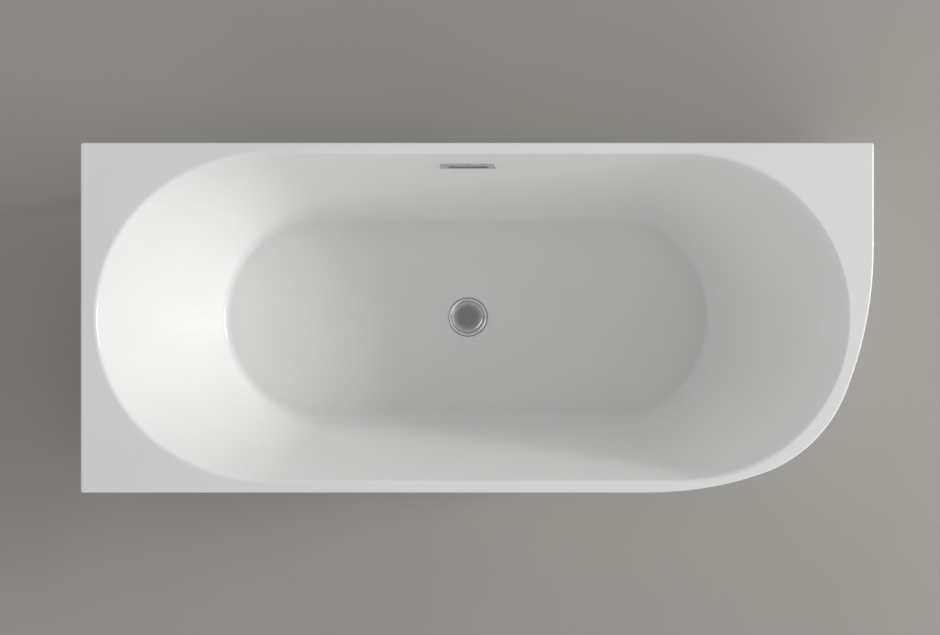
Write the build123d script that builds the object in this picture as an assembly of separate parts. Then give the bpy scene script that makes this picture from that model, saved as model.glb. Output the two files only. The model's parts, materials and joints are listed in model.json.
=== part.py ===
"""Freestanding corner bath: acrylic tub and panel on a steel frame, with waste, overflow and feet.

Sizes are in millimetres. The origin is on the floor under the middle of the bath, +X runs
towards the rounded end, +Y towards the back wall and +Z up. The left end and the back stand
against walls, so the panel covers only the front and the rounded right end.
"""

from build123d import *

import os
from math import cos, hypot, pi, radians, sin, sqrt

# Bath overall, outside the rim
bath_length = 1700.0
bath_width = 750.0
bath_height = 580.0

# Clearances and cuts shared by the whole assembly
bond_gap = 0.3
thread_gap = 0.08
slide_gap = 0.3
overrun = 20.0

# Rounded front right corner of the rim: radii of its three arcs as shares of the width
corner_side_share = 1.12
corner_middle_share = 0.39867
corner_front_share = 0.97867
corner_side_turn = 22.0
corner_front_turn = 19.0

# Rim and tub shell
rim_left = 34.0
rim_right = 56.0
rim_back = 22.0
rim_front = 25.0
rim_lip_drop = 22.0
rim_edge_round = 4.0
rim_corner_round = 5.0
rim_inner_round = 12.0
shell_wall = 5.5

# Basin inside the tub, its ends as shares of the width of the opening or of the floor
basin_floor_z = 150.0
left_slope_run = 226.0
right_slope_run = 248.0
side_slope_run = 110.0
left_end_share = 0.552
right_end_share = 0.519
floor_left_share = 0.49
floor_right_share = 0.4
side_arc_turn = 30.0
arc_middle_share = 0.5
floor_round = 24.0

# Fibreglass on the back of the basin
fibreglass_wall = 3.5
fibreglass_top_drop = 26.0
fibreglass_hole_margin = 1.5

# Base board under the basin floor
board_thickness = 14.0
board_inset = 40.0
board_hole_radius = 52.0

# Deck boards under the three wide corners of the rim
deck_board_thickness = 12.0
deck_board_rim_inset = 18.0
deck_board_basin_gap = 8.0
deck_board_reach = 250.0
deck_board_depth = 200.0

# Outer panel
panel_wall = 5.0
panel_lip_gap = 0.5
panel_taper = 30.0
panel_floor_gap = 5.0
panel_return = 8.0

# Steel frame of square tube
tube_size = 30.0
tube_wall = 1.5
tube_corner = 2.5
rail_side_inset = 75.0
rail_left_inset = 90.0
front_rail_past_corner = 150.0
back_rail_right_inset = 70.0
cross_left_setback = 118.0
cross_right_setback = 170.0
cross_waste_reach = 139.0
post_size = 25.0
post_end_inset = 150.0
cap_lip = 2.0
cap_plug = 12.0
cap_gap = 0.2

# Levelling feet
foot_end_inset = 210.0
middle_foot_setback = 59.0
front_foot_setback = 120.0
stud_radius = 6.0
stud_above_rail = 15.0
stud_hole_radius = 7.0
weld_nut_flats = 18.0
weld_nut_height = 10.0
lock_nut_flats = 19.0
lock_nut_height = 7.0
ball_radius = 7.0
ball_height = 12.0
ball_gap = 0.1
stud_neck_radius = 4.5
stud_hex_flats = 14.0
stud_hex_base = 21.0
stud_hex_height = 8.0
pad_radius = 22.0
pad_edge_height = 4.0
pad_shoulder_height = 12.5
pad_collar_radius = 10.5
pad_height = 16.5

# Panel blocks, brackets and their screws
bracket_left_setback = 200.0
bracket_right_setback = 50.0
bracket_inner_shares = (0.39, 0.785)
end_bracket_setback = 20.0
bracket_width = 40.0
bracket_thickness = 2.5
bracket_round = 4.0
bracket_inner_round = 1.5
bracket_foot_end = 12.0
bracket_leg_gap = 3.0
bracket_height = 32.0
block_width = 60.0
block_low = 4.0
block_height = 40.0
block_depth = 40.0
screw_radius = 2.2
screw_head_radius = 4.4
screw_head_height = 2.4
screw_head_round = 1.2
bracket_screw_length = 12.0
bracket_screw_spread = 9.0
board_screw_edge = 73.5
board_screw_bite = 10.0

# Drain in the basin floor
waste_x = -20.0
drain_hole_radius = 31.0
dish_outer_radius = 58.0
dish_inner_radius = 46.0
dish_depth = 2.0
top_gasket_thickness = 1.0
top_gasket_outer = 42.0
flange_radius = 43.5
flange_edge_height = 0.8
flange_ring_outer = 42.0
flange_ring_inner = 39.8
flange_ring_height = 3.0
flange_lip_radius = 38.6
flange_lip_height = 2.2
flange_well_radius = 38.2
flange_seat_radius = 31.5
flange_seat_height = 0.9
flange_throat_drop = 3.0
tail_outer_radius = 30.0
tail_inner_radius = 25.5
tail_length = 30.0
spider_arm_width = 4.0
spider_height = 5.0
spider_boss_radius = 8.0
spider_arms = 3

# Push and lift plug
cap_radius = 36.8
cap_low = 1.0
cap_edge = 1.8
cap_crown = 2.4
seal_outer_radius = 29.0
seal_inner_radius = 14.0
seal_thickness = 2.0
sleeve_outer_radius = 9.5
sleeve_inner_radius = 7.6
sleeve_length = 22.0
cartridge_radius = 7.2
cartridge_length = 22.0
cartridge_screw_radius = 4.9
cartridge_screw_length = 9.0

# Waste body under the floor
low_gasket_thickness = 3.0
waste_flange_radius = 44.0
waste_flange_thickness = 5.0
waste_wall = 2.8
waste_thread_length = 22.0
waste_chamber_radius = 28.0
waste_nut_clearance = 7.7
drop_pipe_radius = 18.0
drop_pipe_foot_gap = 19.7
branch_rise = 14.0
branch_fall = 4.0
branch_reach = 66.0

# Trap and outlet
trap_radius = 46.0
trap_low = 10.0
trap_wall = 2.6
trap_height = 48.0
trap_round = 8.0
trap_collar_radius = 24.0
trap_collar_height = 8.0
trap_nut_radius = 30.0
trap_nut_length = 18.0
outlet_height = 34.0
outlet_socket_reach = 84.0
outlet_nut_radius = 27.5
outlet_nut_length = 24.0
outlet_pipe_radius = 20.0
outlet_pipe_wall = 2.2
outlet_pipe_start = 62.0
outlet_wall_gap = 30.0
outlet_spigot = 40.0
outlet_stop_radius = 21.5
outlet_stop_width = 3.0
socket_wall = 2.6
nut_lip = 4.0
nut_setback = 2.0
nut_grips = 12
nut_grip_radius = 3.0
nut_grip_depth = 1.0

# Overflow in the back wall of the basin
overflow_drop = 80.0
trim_width = 121.0
trim_height = 24.0
trim_proud = 6.0
trim_corner = 6.0
trim_edge_round = 1.6
trim_slot_width = 88.0
trim_slot_height = 12.0
wall_slot_width = 112.0
wall_slot_height = 15.0
trim_boss_offset = 50.0
trim_boss_radius = 4.6
trim_boss_length = 16.0
overflow_gasket_thickness = 2.0
box_flange_width = 136.0
box_flange_height = 36.0
box_flange_thickness = 2.5
box_width = 128.0
box_height = 28.0
box_depth = 18.0
box_wall = 2.0
box_corner = 5.0
box_screw_length = 21.0

# Overflow pipe from the box to the waste body
pipe_radius = 11.0
pipe_wall = 1.6
pipe_behind_overflow = 18.0
pipe_elbow_radius = 40.0
pipe_insert = 20.0
pipe_socket_wall = 1.9
pipe_socket_length = 22.0
box_socket_drop = 70.0
pipe_nut_radius = 15.2
pipe_nut_length = 16.0
pipe_nut_lip = 3.0

# Heights that the sizes above give
deck_under_z = bath_height - shell_wall
basin_depth = bath_height - basin_floor_z
fibreglass_low_z = basin_floor_z - shell_wall - bond_gap - fibreglass_wall
board_top_z = fibreglass_low_z - bond_gap
board_low_z = board_top_z - board_thickness
cross_low_z = board_low_z - tube_size
rail_low_z = cross_low_z - tube_size
weld_nut_low_z = rail_low_z - weld_nut_height
lock_nut_low_z = weld_nut_low_z - lock_nut_height
panel_top_z = deck_under_z - bond_gap
deck_board_low_z = deck_under_z - bond_gap - deck_board_thickness
dish_z = basin_floor_z - dish_depth
flange_z = dish_z + top_gasket_thickness
tail_low_z = flange_z - tail_length
low_gasket_z = fibreglass_low_z - low_gasket_thickness
trap_nut_low_z = trap_low + trap_height + nut_setback
waste_low_z = trap_nut_low_z + trap_nut_length + waste_nut_clearance
drop_pipe_low_z = trap_low + drop_pipe_foot_gap

# Sides of the basin's opening
opening_left = rim_left - bath_length / 2
opening_right = bath_length / 2 - rim_right
opening_back = bath_width / 2 - rim_back
opening_front = rim_front - bath_width / 2
waste_y = (opening_back + opening_front) / 2
opening_width = opening_back - opening_front
floor_width = opening_width - 2 * side_slope_run

# Run of the basin's slopes for each millimetre of depth: left end, right end and sides
slope_shares = [run / basin_depth for run in (left_slope_run, right_slope_run, side_slope_run)]
side_slope_share = slope_shares[-1]


def basin_outline(left, right, back, front, end_left, end_right):
    """Closed wire of straight sides and two ends, each of a side arc, a tip arc and a side arc."""
    mid = (back + front) / 2
    wide = (back - front) / 2
    turn = radians(side_arc_turn)
    s, c = sin(turn), cos(turn)
    half_s, half_c = sin(turn / 2), cos(turn / 2)

    def end_arcs(tip_x, length, way):
        side = (length * c - wide * (1 - s)) / (s * c - (1 - s) * (1 - c))
        x = tip_x - way * length
        y = wide - side
        start = (x, mid + wide)
        bend = (x + way * side * half_s, mid + y + side * half_c)
        join = (x + way * side * s, mid + y + side * c)
        mirrored = [(px, mid + mid - py) for px, py in (start, bend, join)]
        return [
            Edge.make_three_point_arc(start, bend, join),
            Edge.make_three_point_arc(join, (tip_x, mid), mirrored[2]),
            Edge.make_three_point_arc(mirrored[2], mirrored[1], mirrored[0]),
        ]

    left_arcs = [
        Edge.make_three_point_arc(arc @ 1, arc.position_at(arc_middle_share), arc @ 0)
        for arc in reversed(end_arcs(left, end_left, -1))
    ]
    return Wire([
        Edge.make_line((left + end_left, back), (right - end_right, back)),
        *end_arcs(right, end_right, 1),
        Edge.make_line((right - end_right, front), (left + end_left, front)),
        *left_arcs,
    ])


def opening_outline(left_grow, right_grow, side_grow):
    """The basin's opening at deck height, let out at its left end, right end and sides."""
    return basin_outline(
        opening_left - left_grow,
        opening_right + right_grow,
        opening_back + side_grow,
        opening_front - side_grow,
        left_end_share * opening_width + left_grow,
        right_end_share * opening_width + right_grow,
    )


def floor_outline(left_grow, right_grow, side_grow):
    """The basin's floor where its slopes would meet it, let out at its ends and sides."""
    return basin_outline(
        opening_left + left_slope_run - left_grow,
        opening_right - right_slope_run + right_grow,
        opening_back - side_slope_run + side_grow,
        opening_front + side_slope_run - side_grow,
        floor_left_share * floor_width + left_grow,
        floor_right_share * floor_width + right_grow,
    )


def basin_solid(grow):
    """The basin's space as a solid, let out by grow square to its slopes and floor."""
    top_grows = [grow * hypot(1, slope) for slope in slope_shares]
    low_grows = [grow * (hypot(1, slope) - slope) for slope in slope_shares]
    solid = Solid.make_loft(
        [
            opening_outline(*top_grows).moved(Location((0, 0, bath_height))),
            floor_outline(*low_grows).moved(Location((0, 0, basin_floor_z - grow))),
        ],
        True,
    )
    low_face = solid.faces().sort_by(Axis.Z)[0]
    return solid.fillet(floor_round + grow, low_face.edges())


def corner_arcs(inset):
    """The three arcs of the rounded corner from the right side to the front, drawn in by inset."""
    shares = (corner_side_share, corner_middle_share, corner_front_share)
    radii = [share * bath_width for share in shares]
    turns = (0, -corner_side_turn, corner_front_turn - 90, -90)
    steps = [
        Vector(cos(radians(turn)), sin(radians(turn))) * (wider - radius)
        for wider, radius, turn in zip(radii, radii[1:], turns[1:])
    ]
    total = steps[0] + steps[1]
    centre = Vector(
        bath_length / 2 - radii[0], radii[2] - bath_width / 2 - total.Y
    )
    arcs = []
    for i, radius in enumerate(radii):
        if i:
            centre = centre + steps[i - 1]
        angles = (turns[i], (turns[i] + turns[i + 1]) / 2, turns[i + 1])
        points = [
            centre + Vector(cos(radians(a)), sin(radians(a))) * (radius - inset) for a in angles
        ]
        arcs.append(Edge.make_three_point_arc(*points))
    return arcs


def rim_outline(inset, wall_inset):
    """The bath from above: front and right drawn in by inset, its two wall sides by wall_inset."""
    left = wall_inset - bath_length / 2
    back = bath_width / 2 - wall_inset
    arcs = corner_arcs(inset)
    start, end = arcs[0] @ 0, arcs[-1] @ 1
    return Wire([
        Edge.make_line((left, back), (start.X, back)),
        Edge.make_line((start.X, back), start),
        *arcs,
        Edge.make_line(end, (left, end.Y)),
        Edge.make_line((left, end.Y), (left, back)),
    ])


def slab(outline, low_z, high_z):
    """An outline as a solid between two heights."""
    face = Face(outline).moved(Location((0, 0, low_z)))
    return Solid.extrude(face, Vector(0, 0, high_z - low_z))


def block(low, high):
    """A box between two corners."""
    size = [b - a for a, b in zip(low, high)]
    return Solid.make_box(*size, Plane(origin=tuple(low)))


def drum(radius, low_z, high_z, x=0, y=0):
    """A round bar standing at x, y."""
    return Solid.make_cylinder(radius, high_z - low_z, Plane(origin=(x, y, low_z)))


def cut_drum(radius, low_z, high_z, x=0, y=0):
    """A round cutter that runs past both heights."""
    return drum(radius, low_z - overrun, high_z + overrun, x, y)


def ring(outer, inner, low_z, high_z, x=0, y=0):
    """A round tube standing at x, y."""
    return drum(outer, low_z, high_z, x, y) - cut_drum(inner, low_z, high_z, x, y)


def hexagon(flats, low_z, high_z, x, y):
    """A hexagonal bar standing at x, y."""
    reach = flats / sqrt(3)
    corners = [
        (x + reach * cos(k * pi / 3), y + reach * sin(k * pi / 3), low_z) for k in range(6)
    ]
    face = Face(Wire.make_polygon(corners, close=True))
    return Solid.extrude(face, Vector(0, 0, high_z - low_z))


def turned(points, x=0, y=0):
    """A solid turned about the upright line at x, y from points of radius and height."""
    profile = Face(Wire.make_polygon([(r, 0, z) for r, z in points], close=True))
    return Solid.revolve(profile, 360, Axis.Z).moved(Location((x, y, 0)))


def square_tube(low, high):
    """A hollow square tube along the longest side of the box from low to high."""
    spans = [b - a for a, b in zip(low, high)]
    along = spans.index(max(spans))
    axis = (Axis.X, Axis.Y, Axis.Z)[along]
    bar = block(low, high)
    bar = bar.fillet(tube_corner, bar.edges().filter_by(axis))
    inner_low = [a - overrun if i == along else a + tube_wall for i, a in enumerate(low)]
    inner_high = [b + overrun if i == along else b - tube_wall for i, b in enumerate(high)]
    hollow = block(inner_low, inner_high)
    return bar - hollow.fillet(tube_corner - tube_wall, hollow.edges().filter_by(axis))


def group(solids):
    """Several separate like pieces kept as one part."""
    return Compound(children=list(solids))


def panhead_screw(length):
    """A pan-head screw with the underside of its head at the origin and its shank down -Z."""
    head = drum(screw_head_radius, 0, screw_head_height)
    head = head.fillet(screw_head_round, head.faces().sort_by(Axis.Z)[-1].edges())
    return head + drum(screw_radius, -length, 0)


def union_nut(outer, thread_radius, bore_radius, length, lip):
    """A grip nut along +Z from the origin, threaded inside, with a lip at its far end."""
    nut = drum(outer, 0, length)
    away = outer + nut_grip_radius - nut_grip_depth
    for k in range(nut_grips):
        turn = 2 * pi * k / nut_grips
        nut -= cut_drum(nut_grip_radius, 0, length, away * cos(turn), away * sin(turn))
    nut -= drum(thread_radius + thread_gap, -overrun, length - lip)
    return nut - cut_drum(bore_radius, 0, length)


# Ends of the rails and the cross-members on them
rail_offset = bath_width / 2 - rail_side_inset
rail_left_end = rail_left_inset - bath_length / 2
front_rail_right_end = (corner_arcs(0)[-1] @ 1).X + front_rail_past_corner
back_rail_right_end = bath_length / 2 - back_rail_right_inset
cross_left = opening_left + left_slope_run + board_inset + cross_left_setback
cross_middle = waste_x + cross_waste_reach
cross_right = front_rail_right_end - cross_right_setback
cross_places = (cross_left, cross_middle, cross_right)
board_screw_offset = floor_width / 2 - board_inset - board_screw_edge

# Feet and brackets along the rails
foot_left = foot_end_inset - bath_length / 2
foot_middle = cross_middle - middle_foot_setback
front_feet = (foot_left, foot_middle, front_rail_right_end - front_foot_setback)
back_feet = (foot_left, foot_middle, bath_length / 2 - foot_end_inset)
feet = [(x, -rail_offset) for x in front_feet] + [(x, rail_offset) for x in back_feet]
bracket_left = rail_left_end + bracket_left_setback
bracket_right = front_rail_right_end - bracket_right_setback
bracket_places = [
    bracket_left + share * (bracket_right - bracket_left) for share in (0, *bracket_inner_shares, 1)
]

# Slope of the basin's back wall and the overflow's own directions on it
up_slope = Vector(0, side_slope_run, basin_depth).normalized()
overflow_z = bath_height - overflow_drop
overflow_y = opening_back - overflow_drop * side_slope_share
slope_plane = Plane(
    origin=(waste_x, overflow_y, overflow_z),
    x_dir=(1, 0, 0),
    z_dir=(0, -up_slope.Z, up_slope.Y),
)

# Depths behind the basin's inner face at the overflow, and the run of the overflow pipe
backing_depth = shell_wall + bond_gap + fibreglass_wall
gasket_depth = backing_depth + overflow_gasket_thickness
box_back = gasket_depth + box_depth
pipe_y = overflow_y + pipe_behind_overflow
branch_z = waste_low_z + branch_rise
branch_way = Vector(0, cos(radians(branch_fall)), sin(radians(branch_fall)))
branch_end = Vector(waste_x, waste_y, branch_z) + branch_way * branch_reach
box_socket_low_z = overflow_z - box_socket_drop


def on_slope(solid):
    """Sets a solid drawn at the origin onto the overflow's place on the back slope."""
    return slope_plane.location * solid


def slot_bar(width, height, low, high):
    """A flat bar with round ends along X, from low to high along Z."""
    face = SlotOverall(width, height).faces()[0].moved(Location((0, 0, low)))
    return Solid.extrude(face, Vector(0, 0, high - low))


def plate(width, height, low, high, corner):
    """A rectangular plate with rounded corners, from low to high along Z."""
    face = RectangleRounded(width, height, corner).faces()[0].moved(Location((0, 0, low)))
    return Solid.extrude(face, Vector(0, 0, high - low))


def make_tub():
    """The acrylic tub: deck, turned-down lip, basin, drain dish and overflow slot."""
    lip_low_z = bath_height - rim_lip_drop
    rim = slab(rim_outline(0, 0), lip_low_z, bath_height)
    corners = [
        e
        for e in rim.edges().filter_by(Axis.Z)
        if e.center().X < opening_left or e.center().Y > opening_back
    ]
    rim = rim.fillet(rim_corner_round, corners)
    rim = rim.fillet(rim_edge_round, rim.faces().sort_by(Axis.Z)[-1].edges())
    hollow = slab(rim_outline(shell_wall, shell_wall), lip_low_z - overrun, deck_under_z)
    tub = (rim - hollow) + basin_solid(shell_wall)
    tub = tub - basin_solid(0)
    mouth = [
        e
        for e in tub.edges().filter_by_position(
            Axis.Z, bath_height - thread_gap, bath_height + thread_gap
        )
        if opening_left - thread_gap < e.center().X < opening_right + thread_gap
        and opening_front - thread_gap < e.center().Y < opening_back + thread_gap
    ]
    tub = tub.fillet(rim_inner_round, mouth)
    tub = tub - Solid.make_cone(
        dish_inner_radius, dish_outer_radius, dish_depth, Plane(origin=(waste_x, waste_y, dish_z))
    )
    tub = tub - cut_drum(drain_hole_radius, dish_z, basin_floor_z, waste_x, waste_y)
    return tub - on_slope(slot_bar(wall_slot_width, wall_slot_height, -overrun, overrun))


def make_fibreglass():
    """The fibreglass layer on the back of the basin, with its drain and overflow holes."""
    inner = shell_wall + bond_gap
    layer = basin_solid(inner + fibreglass_wall) - basin_solid(inner)
    top_z = bath_height - fibreglass_top_drop
    layer = layer - block(
        (-bath_length, -bath_width, top_z), (bath_length, bath_width, bath_height + overrun)
    )
    hole = drain_hole_radius + fibreglass_hole_margin
    layer = layer - cut_drum(hole, fibreglass_low_z, basin_floor_z, waste_x, waste_y)
    slot_margin = 2 * fibreglass_hole_margin
    return layer - on_slope(
        slot_bar(wall_slot_width + slot_margin, wall_slot_height + slot_margin, -overrun, overrun)
    )


def make_board():
    """The flat board under the basin's floor, round the waste and drilled for its screws."""
    insets = [-board_inset for _ in slope_shares]
    board = slab(floor_outline(*insets), board_low_z, board_top_z)
    board = board - cut_drum(board_hole_radius, board_low_z, board_top_z, waste_x, waste_y)
    for x, y in board_screw_places():
        pilot_top = board_low_z + board_screw_bite + thread_gap
        board = board - drum(screw_radius + thread_gap, board_low_z - overrun, pilot_top, x, y)
    return board


def board_screw_places():
    """Where the screws pass up through the cross-members into the board."""
    return [(x, way * board_screw_offset) for x in cross_places for way in (-1, 1)]


def make_deck_board(side_x, side_y):
    """A board under one corner of the deck, shaped to the rim and the basin."""
    rim = slab(
        rim_outline(deck_board_rim_inset, deck_board_rim_inset),
        deck_board_low_z, deck_board_low_z + deck_board_thickness,
    )
    corner_x, corner_y = side_x * bath_length / 2, side_y * bath_width / 2
    inner_x = corner_x - side_x * deck_board_reach
    inner_y = corner_y - side_y * deck_board_depth
    corner = block(
        (min(corner_x, inner_x), min(corner_y, inner_y), deck_board_low_z - overrun),
        (max(corner_x, inner_x), max(corner_y, inner_y), bath_height),
    )
    aways = [backing_depth * hypot(1, slope) + deck_board_basin_gap for slope in slope_shares]
    basin = slab(opening_outline(*aways), deck_board_low_z - overrun, bath_height)
    return (rim & corner) - basin


def panel_form(inset, wall_inset, high_z):
    """The tapered form of the panel, as a solid from below its foot to high_z."""
    low_z = panel_floor_gap
    lean = panel_taper * (panel_top_z - high_z) / (panel_top_z - low_z)
    return Solid.make_loft(
        [
            rim_outline(inset + lean, wall_inset).moved(Location((0, 0, high_z))),
            rim_outline(inset + panel_taper, wall_inset).moved(Location((0, 0, low_z))),
        ],
        True,
    )


def make_panel():
    """The panel round the front and right end, with a return along its foot."""
    inset = shell_wall + panel_lip_gap
    panel = panel_form(inset, inset, panel_top_z)
    hollow = panel_form(inset + panel_wall, -overrun, panel_top_z)
    foot_z = panel_floor_gap + panel_wall
    far = bath_length
    above = block((-far, -far, foot_z), (far, far, bath_height))
    panel = panel - (hollow & above)
    deep = inset + panel_taper + panel_wall + panel_return
    return panel - slab(rim_outline(deep, -overrun), -overrun, foot_z + overrun)


def rail_ends(side_y):
    """The left and right ends of the rail on one side."""
    return rail_left_end, back_rail_right_end if side_y > 0 else front_rail_right_end


def make_rail(side_y):
    """One long rail, drilled for its feet and the bracket screws."""
    left, right = rail_ends(side_y)
    y = side_y * rail_offset
    half = tube_size / 2
    rail = square_tube((left, y - half, rail_low_z), (right, y + half, cross_low_z))
    for x, foot_y in feet:
        if foot_y == y:
            rail = rail - cut_drum(stud_hole_radius, rail_low_z, cross_low_z, x, y)
    for place in bracket_locations():
        for spot in bracket_screw_spots()[0]:
            rail = rail - place * spot * drum(screw_radius + thread_gap, -half, overrun)
    return rail


def make_cross(x):
    """One cross-member lying on both rails, drilled for the board's screws."""
    half = tube_size / 2
    reach = rail_offset + half
    cross = square_tube((x - half, -reach, cross_low_z), (x + half, reach, board_low_z))
    for place_x, y in board_screw_places():
        if place_x == x:
            cross = cross - cut_drum(screw_radius + thread_gap, cross_low_z, board_low_z, x, y)
    return cross


def make_post(side_x, side_y):
    """One upright from a rail to the deck board above it."""
    x = side_x * (bath_length / 2 - post_end_inset)
    y = side_y * rail_offset
    half = post_size / 2
    return square_tube((x - half, y - half, cross_low_z), (x + half, y + half, deck_board_low_z))


def make_end_caps():
    """The plastic caps in the open ends of the rails."""
    half = tube_size / 2
    inner = half - tube_wall - cap_gap
    mid_z = rail_low_z + half
    caps = []
    for side_y in (-1, 1):
        y = side_y * rail_offset
        for way, end in zip((-1, 1), rail_ends(side_y)):
            lip = sorted((end, end + way * cap_lip))
            plug = sorted((end, end - way * cap_plug))
            outside = block((lip[0], y - half, rail_low_z), (lip[1], y + half, cross_low_z))
            inside = block(
                (plug[0], y - inner, mid_z - inner), (plug[1], y + inner, mid_z + inner)
            )
            outside = outside.fillet(tube_corner, outside.edges().filter_by(Axis.X))
            inside = inside.fillet(tube_corner - tube_wall, inside.edges().filter_by(Axis.X))
            caps.append(outside + inside)
    return group(caps)


def make_nuts(flats, low_z, height):
    """One threaded hexagonal nut round every foot stud."""
    high_z = low_z + height
    return group(
        hexagon(flats, low_z, high_z, x, y)
        - cut_drum(stud_radius + thread_gap, low_z, high_z, x, y)
        for x, y in feet
    )


def make_stud(x, y):
    """A threaded stud with a spanner hexagon, a neck and a ball at its foot."""
    top_z = cross_low_z + stud_above_rail
    hex_top_z = stud_hex_base + stud_hex_height
    ball = Solid.make_sphere(ball_radius, Plane(origin=(x, y, ball_height)))
    stud = ball + drum(stud_neck_radius, ball_height, stud_hex_base, x, y)
    stud += hexagon(stud_hex_flats, stud_hex_base, hex_top_z, x, y)
    return stud + drum(stud_radius, hex_top_z, top_z, x, y)


def make_pad(x, y):
    """A plastic pad with a socket that holds the stud's ball."""
    pad = turned(
        [
            (0, 0), (pad_radius, 0), (pad_radius, pad_edge_height),
            (pad_collar_radius, pad_shoulder_height), (pad_collar_radius, pad_height),
            (0, pad_height),
        ],
        x, y,
    )
    return pad - Solid.make_sphere(ball_radius + ball_gap, Plane(origin=(x, y, ball_height)))


def bracket_locations():
    """Places of the brackets on the rails, each with -Y towards the panel."""
    places = [Location((x, -rail_offset, cross_low_z)) for x in bracket_places]
    end_x = back_rail_right_end - end_bracket_setback
    return places + [Location((end_x, rail_offset, cross_low_z), (0, 0, 90))]


leg_inner = tube_size / 2 + bracket_leg_gap
leg_outer = leg_inner + bracket_thickness
leg_screw_height = (block_low + bracket_height) / 2


def bracket_screw_spots():
    """The screws of one bracket: two down into the rail and two out into the block."""
    spread = bracket_screw_spread
    down = [Location((x, 0, bracket_thickness)) for x in (-spread, spread)]
    out = [Location((x, -leg_inner, leg_screw_height), (-90, 0, 0)) for x in (-spread, spread)]
    return down, out


def make_bracket(place):
    """One angle bracket: a foot on the rail and a leg against the panel's block."""
    half = bracket_width / 2
    foot = block((-half, -leg_outer, 0), (half, bracket_foot_end, bracket_thickness))
    leg = block((-half, -leg_outer, 0), (half, -leg_inner, bracket_height))
    angle = foot + leg
    bends = angle.edges().filter_by(Axis.X).sort_by(lambda e: e.center().Y + e.center().Z)
    angle = angle.fillet(bracket_round, [bends[0]])
    inner = [
        e for e in angle.edges().filter_by(Axis.X)
        if abs(e.center().Y + leg_inner) + abs(e.center().Z - bracket_thickness) < thread_gap
    ]
    angle = angle.fillet(bracket_inner_round, inner)
    down, out = bracket_screw_spots()
    for spot in down + out:
        angle = angle - spot * cut_drum(screw_radius + thread_gap, 0, 0)
    return place * angle


def make_block(place):
    """One timber block bonded inside the panel, shaped to the panel's inner face."""
    half = block_width / 2
    rough = block(
        (-half, -leg_outer - block_depth, block_low),
        (half, -leg_outer, block_low + block_height),
    )
    for spot in bracket_screw_spots()[1]:
        rough = rough - spot * drum(
            screw_radius + thread_gap, -bracket_screw_length - thread_gap, overrun
        )
    inside = panel_form(
        shell_wall + panel_lip_gap + panel_wall + bond_gap, -overrun, panel_top_z
    )
    return (place * rough) & inside


def make_bracket_screws():
    """All the screws that hold the brackets."""
    return group(
        place * spot * panhead_screw(bracket_screw_length)
        for place in bracket_locations()
        for spot in sum(bracket_screw_spots(), [])
    )


def make_board_screws():
    """The long screws up through the cross-members into the base board."""
    length = tube_size + board_screw_bite
    return group(
        Location((x, y, cross_low_z), (180, 0, 0)) * panhead_screw(length)
        for x, y in board_screw_places()
    )


def make_waste_flange():
    """The chromed drain ring with its threaded tail and the spider that carries the plug."""
    base = flange_z
    seat_z = base + flange_seat_height
    throat_z = seat_z - flange_throat_drop
    flange = turned(
        [
            (tail_inner_radius, tail_low_z), (tail_inner_radius, throat_z),
            (flange_seat_radius, seat_z), (flange_well_radius, seat_z),
            (flange_lip_radius, base + flange_lip_height),
            (flange_ring_inner, base + flange_ring_height),
            (flange_ring_outer, base + flange_ring_height),
            (flange_radius, base + flange_edge_height), (flange_radius, base),
            (tail_outer_radius, base), (tail_outer_radius, tail_low_z),
        ],
        waste_x, waste_y,
    )
    top_z = tail_low_z + spider_height
    boss = drum(spider_boss_radius, tail_low_z, top_z, waste_x, waste_y)
    half = spider_arm_width / 2
    reach = (tail_inner_radius + tail_outer_radius) / 2
    for k in range(spider_arms):
        arm = block((0, -half, tail_low_z), (reach, half, top_z))
        boss += Location((waste_x, waste_y, 0), (0, 0, 360 * k / spider_arms)) * arm
    bore = cartridge_screw_radius + thread_gap
    return flange + (boss - cut_drum(bore, tail_low_z, top_z, waste_x, waste_y))


def make_plug_cap():
    """The plug's domed cap, hollowed below round its socket."""
    low_z = basin_floor_z + cap_low
    edge_z = low_z + cap_edge
    crown_z = edge_z + cap_crown
    dome = Edge.make_three_point_arc((-cap_radius, 0, edge_z), (0, 0, crown_z), (cap_radius, 0, edge_z))
    half_dome = dome.trim(arc_middle_share, 1)
    profile = Face(Wire([
        half_dome,
        Edge.make_line((cap_radius, 0, edge_z), (cap_radius, 0, low_z)),
        Edge.make_line((cap_radius, 0, low_z), (0, 0, low_z)),
        Edge.make_line((0, 0, low_z), (0, 0, crown_z)),
    ]))
    return Solid.revolve(profile, 360, Axis.Z).moved(Location((waste_x, waste_y, 0)))


def make_waste_body():
    """The plastic waste body: flange, threaded socket, chamber, drop pipe and overflow branch."""
    x, y = waste_x, waste_y
    top_z = low_gasket_z
    thread = tail_outer_radius + thread_gap
    step_z = top_z - waste_thread_length
    outer = drum(waste_flange_radius, top_z - waste_flange_thickness, top_z, x, y)
    outer += drum(thread + waste_wall, waste_low_z, top_z, x, y)
    outer += drum(drop_pipe_radius, drop_pipe_low_z, waste_low_z, x, y)
    socket = pipe_radius + thread_gap + pipe_socket_wall
    at = Plane(origin=(x, y, branch_z), z_dir=tuple(branch_way))
    outer += Solid.make_cylinder(socket, branch_reach, at)
    inner = drum(thread, step_z, top_z + overrun, x, y)
    inner += drum(waste_chamber_radius, waste_low_z + waste_wall, step_z, x, y)
    bore = drop_pipe_radius - waste_wall
    inner += drum(bore, drop_pipe_low_z - overrun, step_z, x, y)
    inner += Solid.make_cylinder(pipe_radius - pipe_wall, branch_reach + overrun, at)
    mouth = Plane(
        origin=tuple(branch_end - branch_way * pipe_socket_length), z_dir=tuple(branch_way)
    )
    inner += Solid.make_cylinder(
        pipe_radius + thread_gap, pipe_socket_length + overrun, mouth
    )
    return outer - inner


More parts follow.
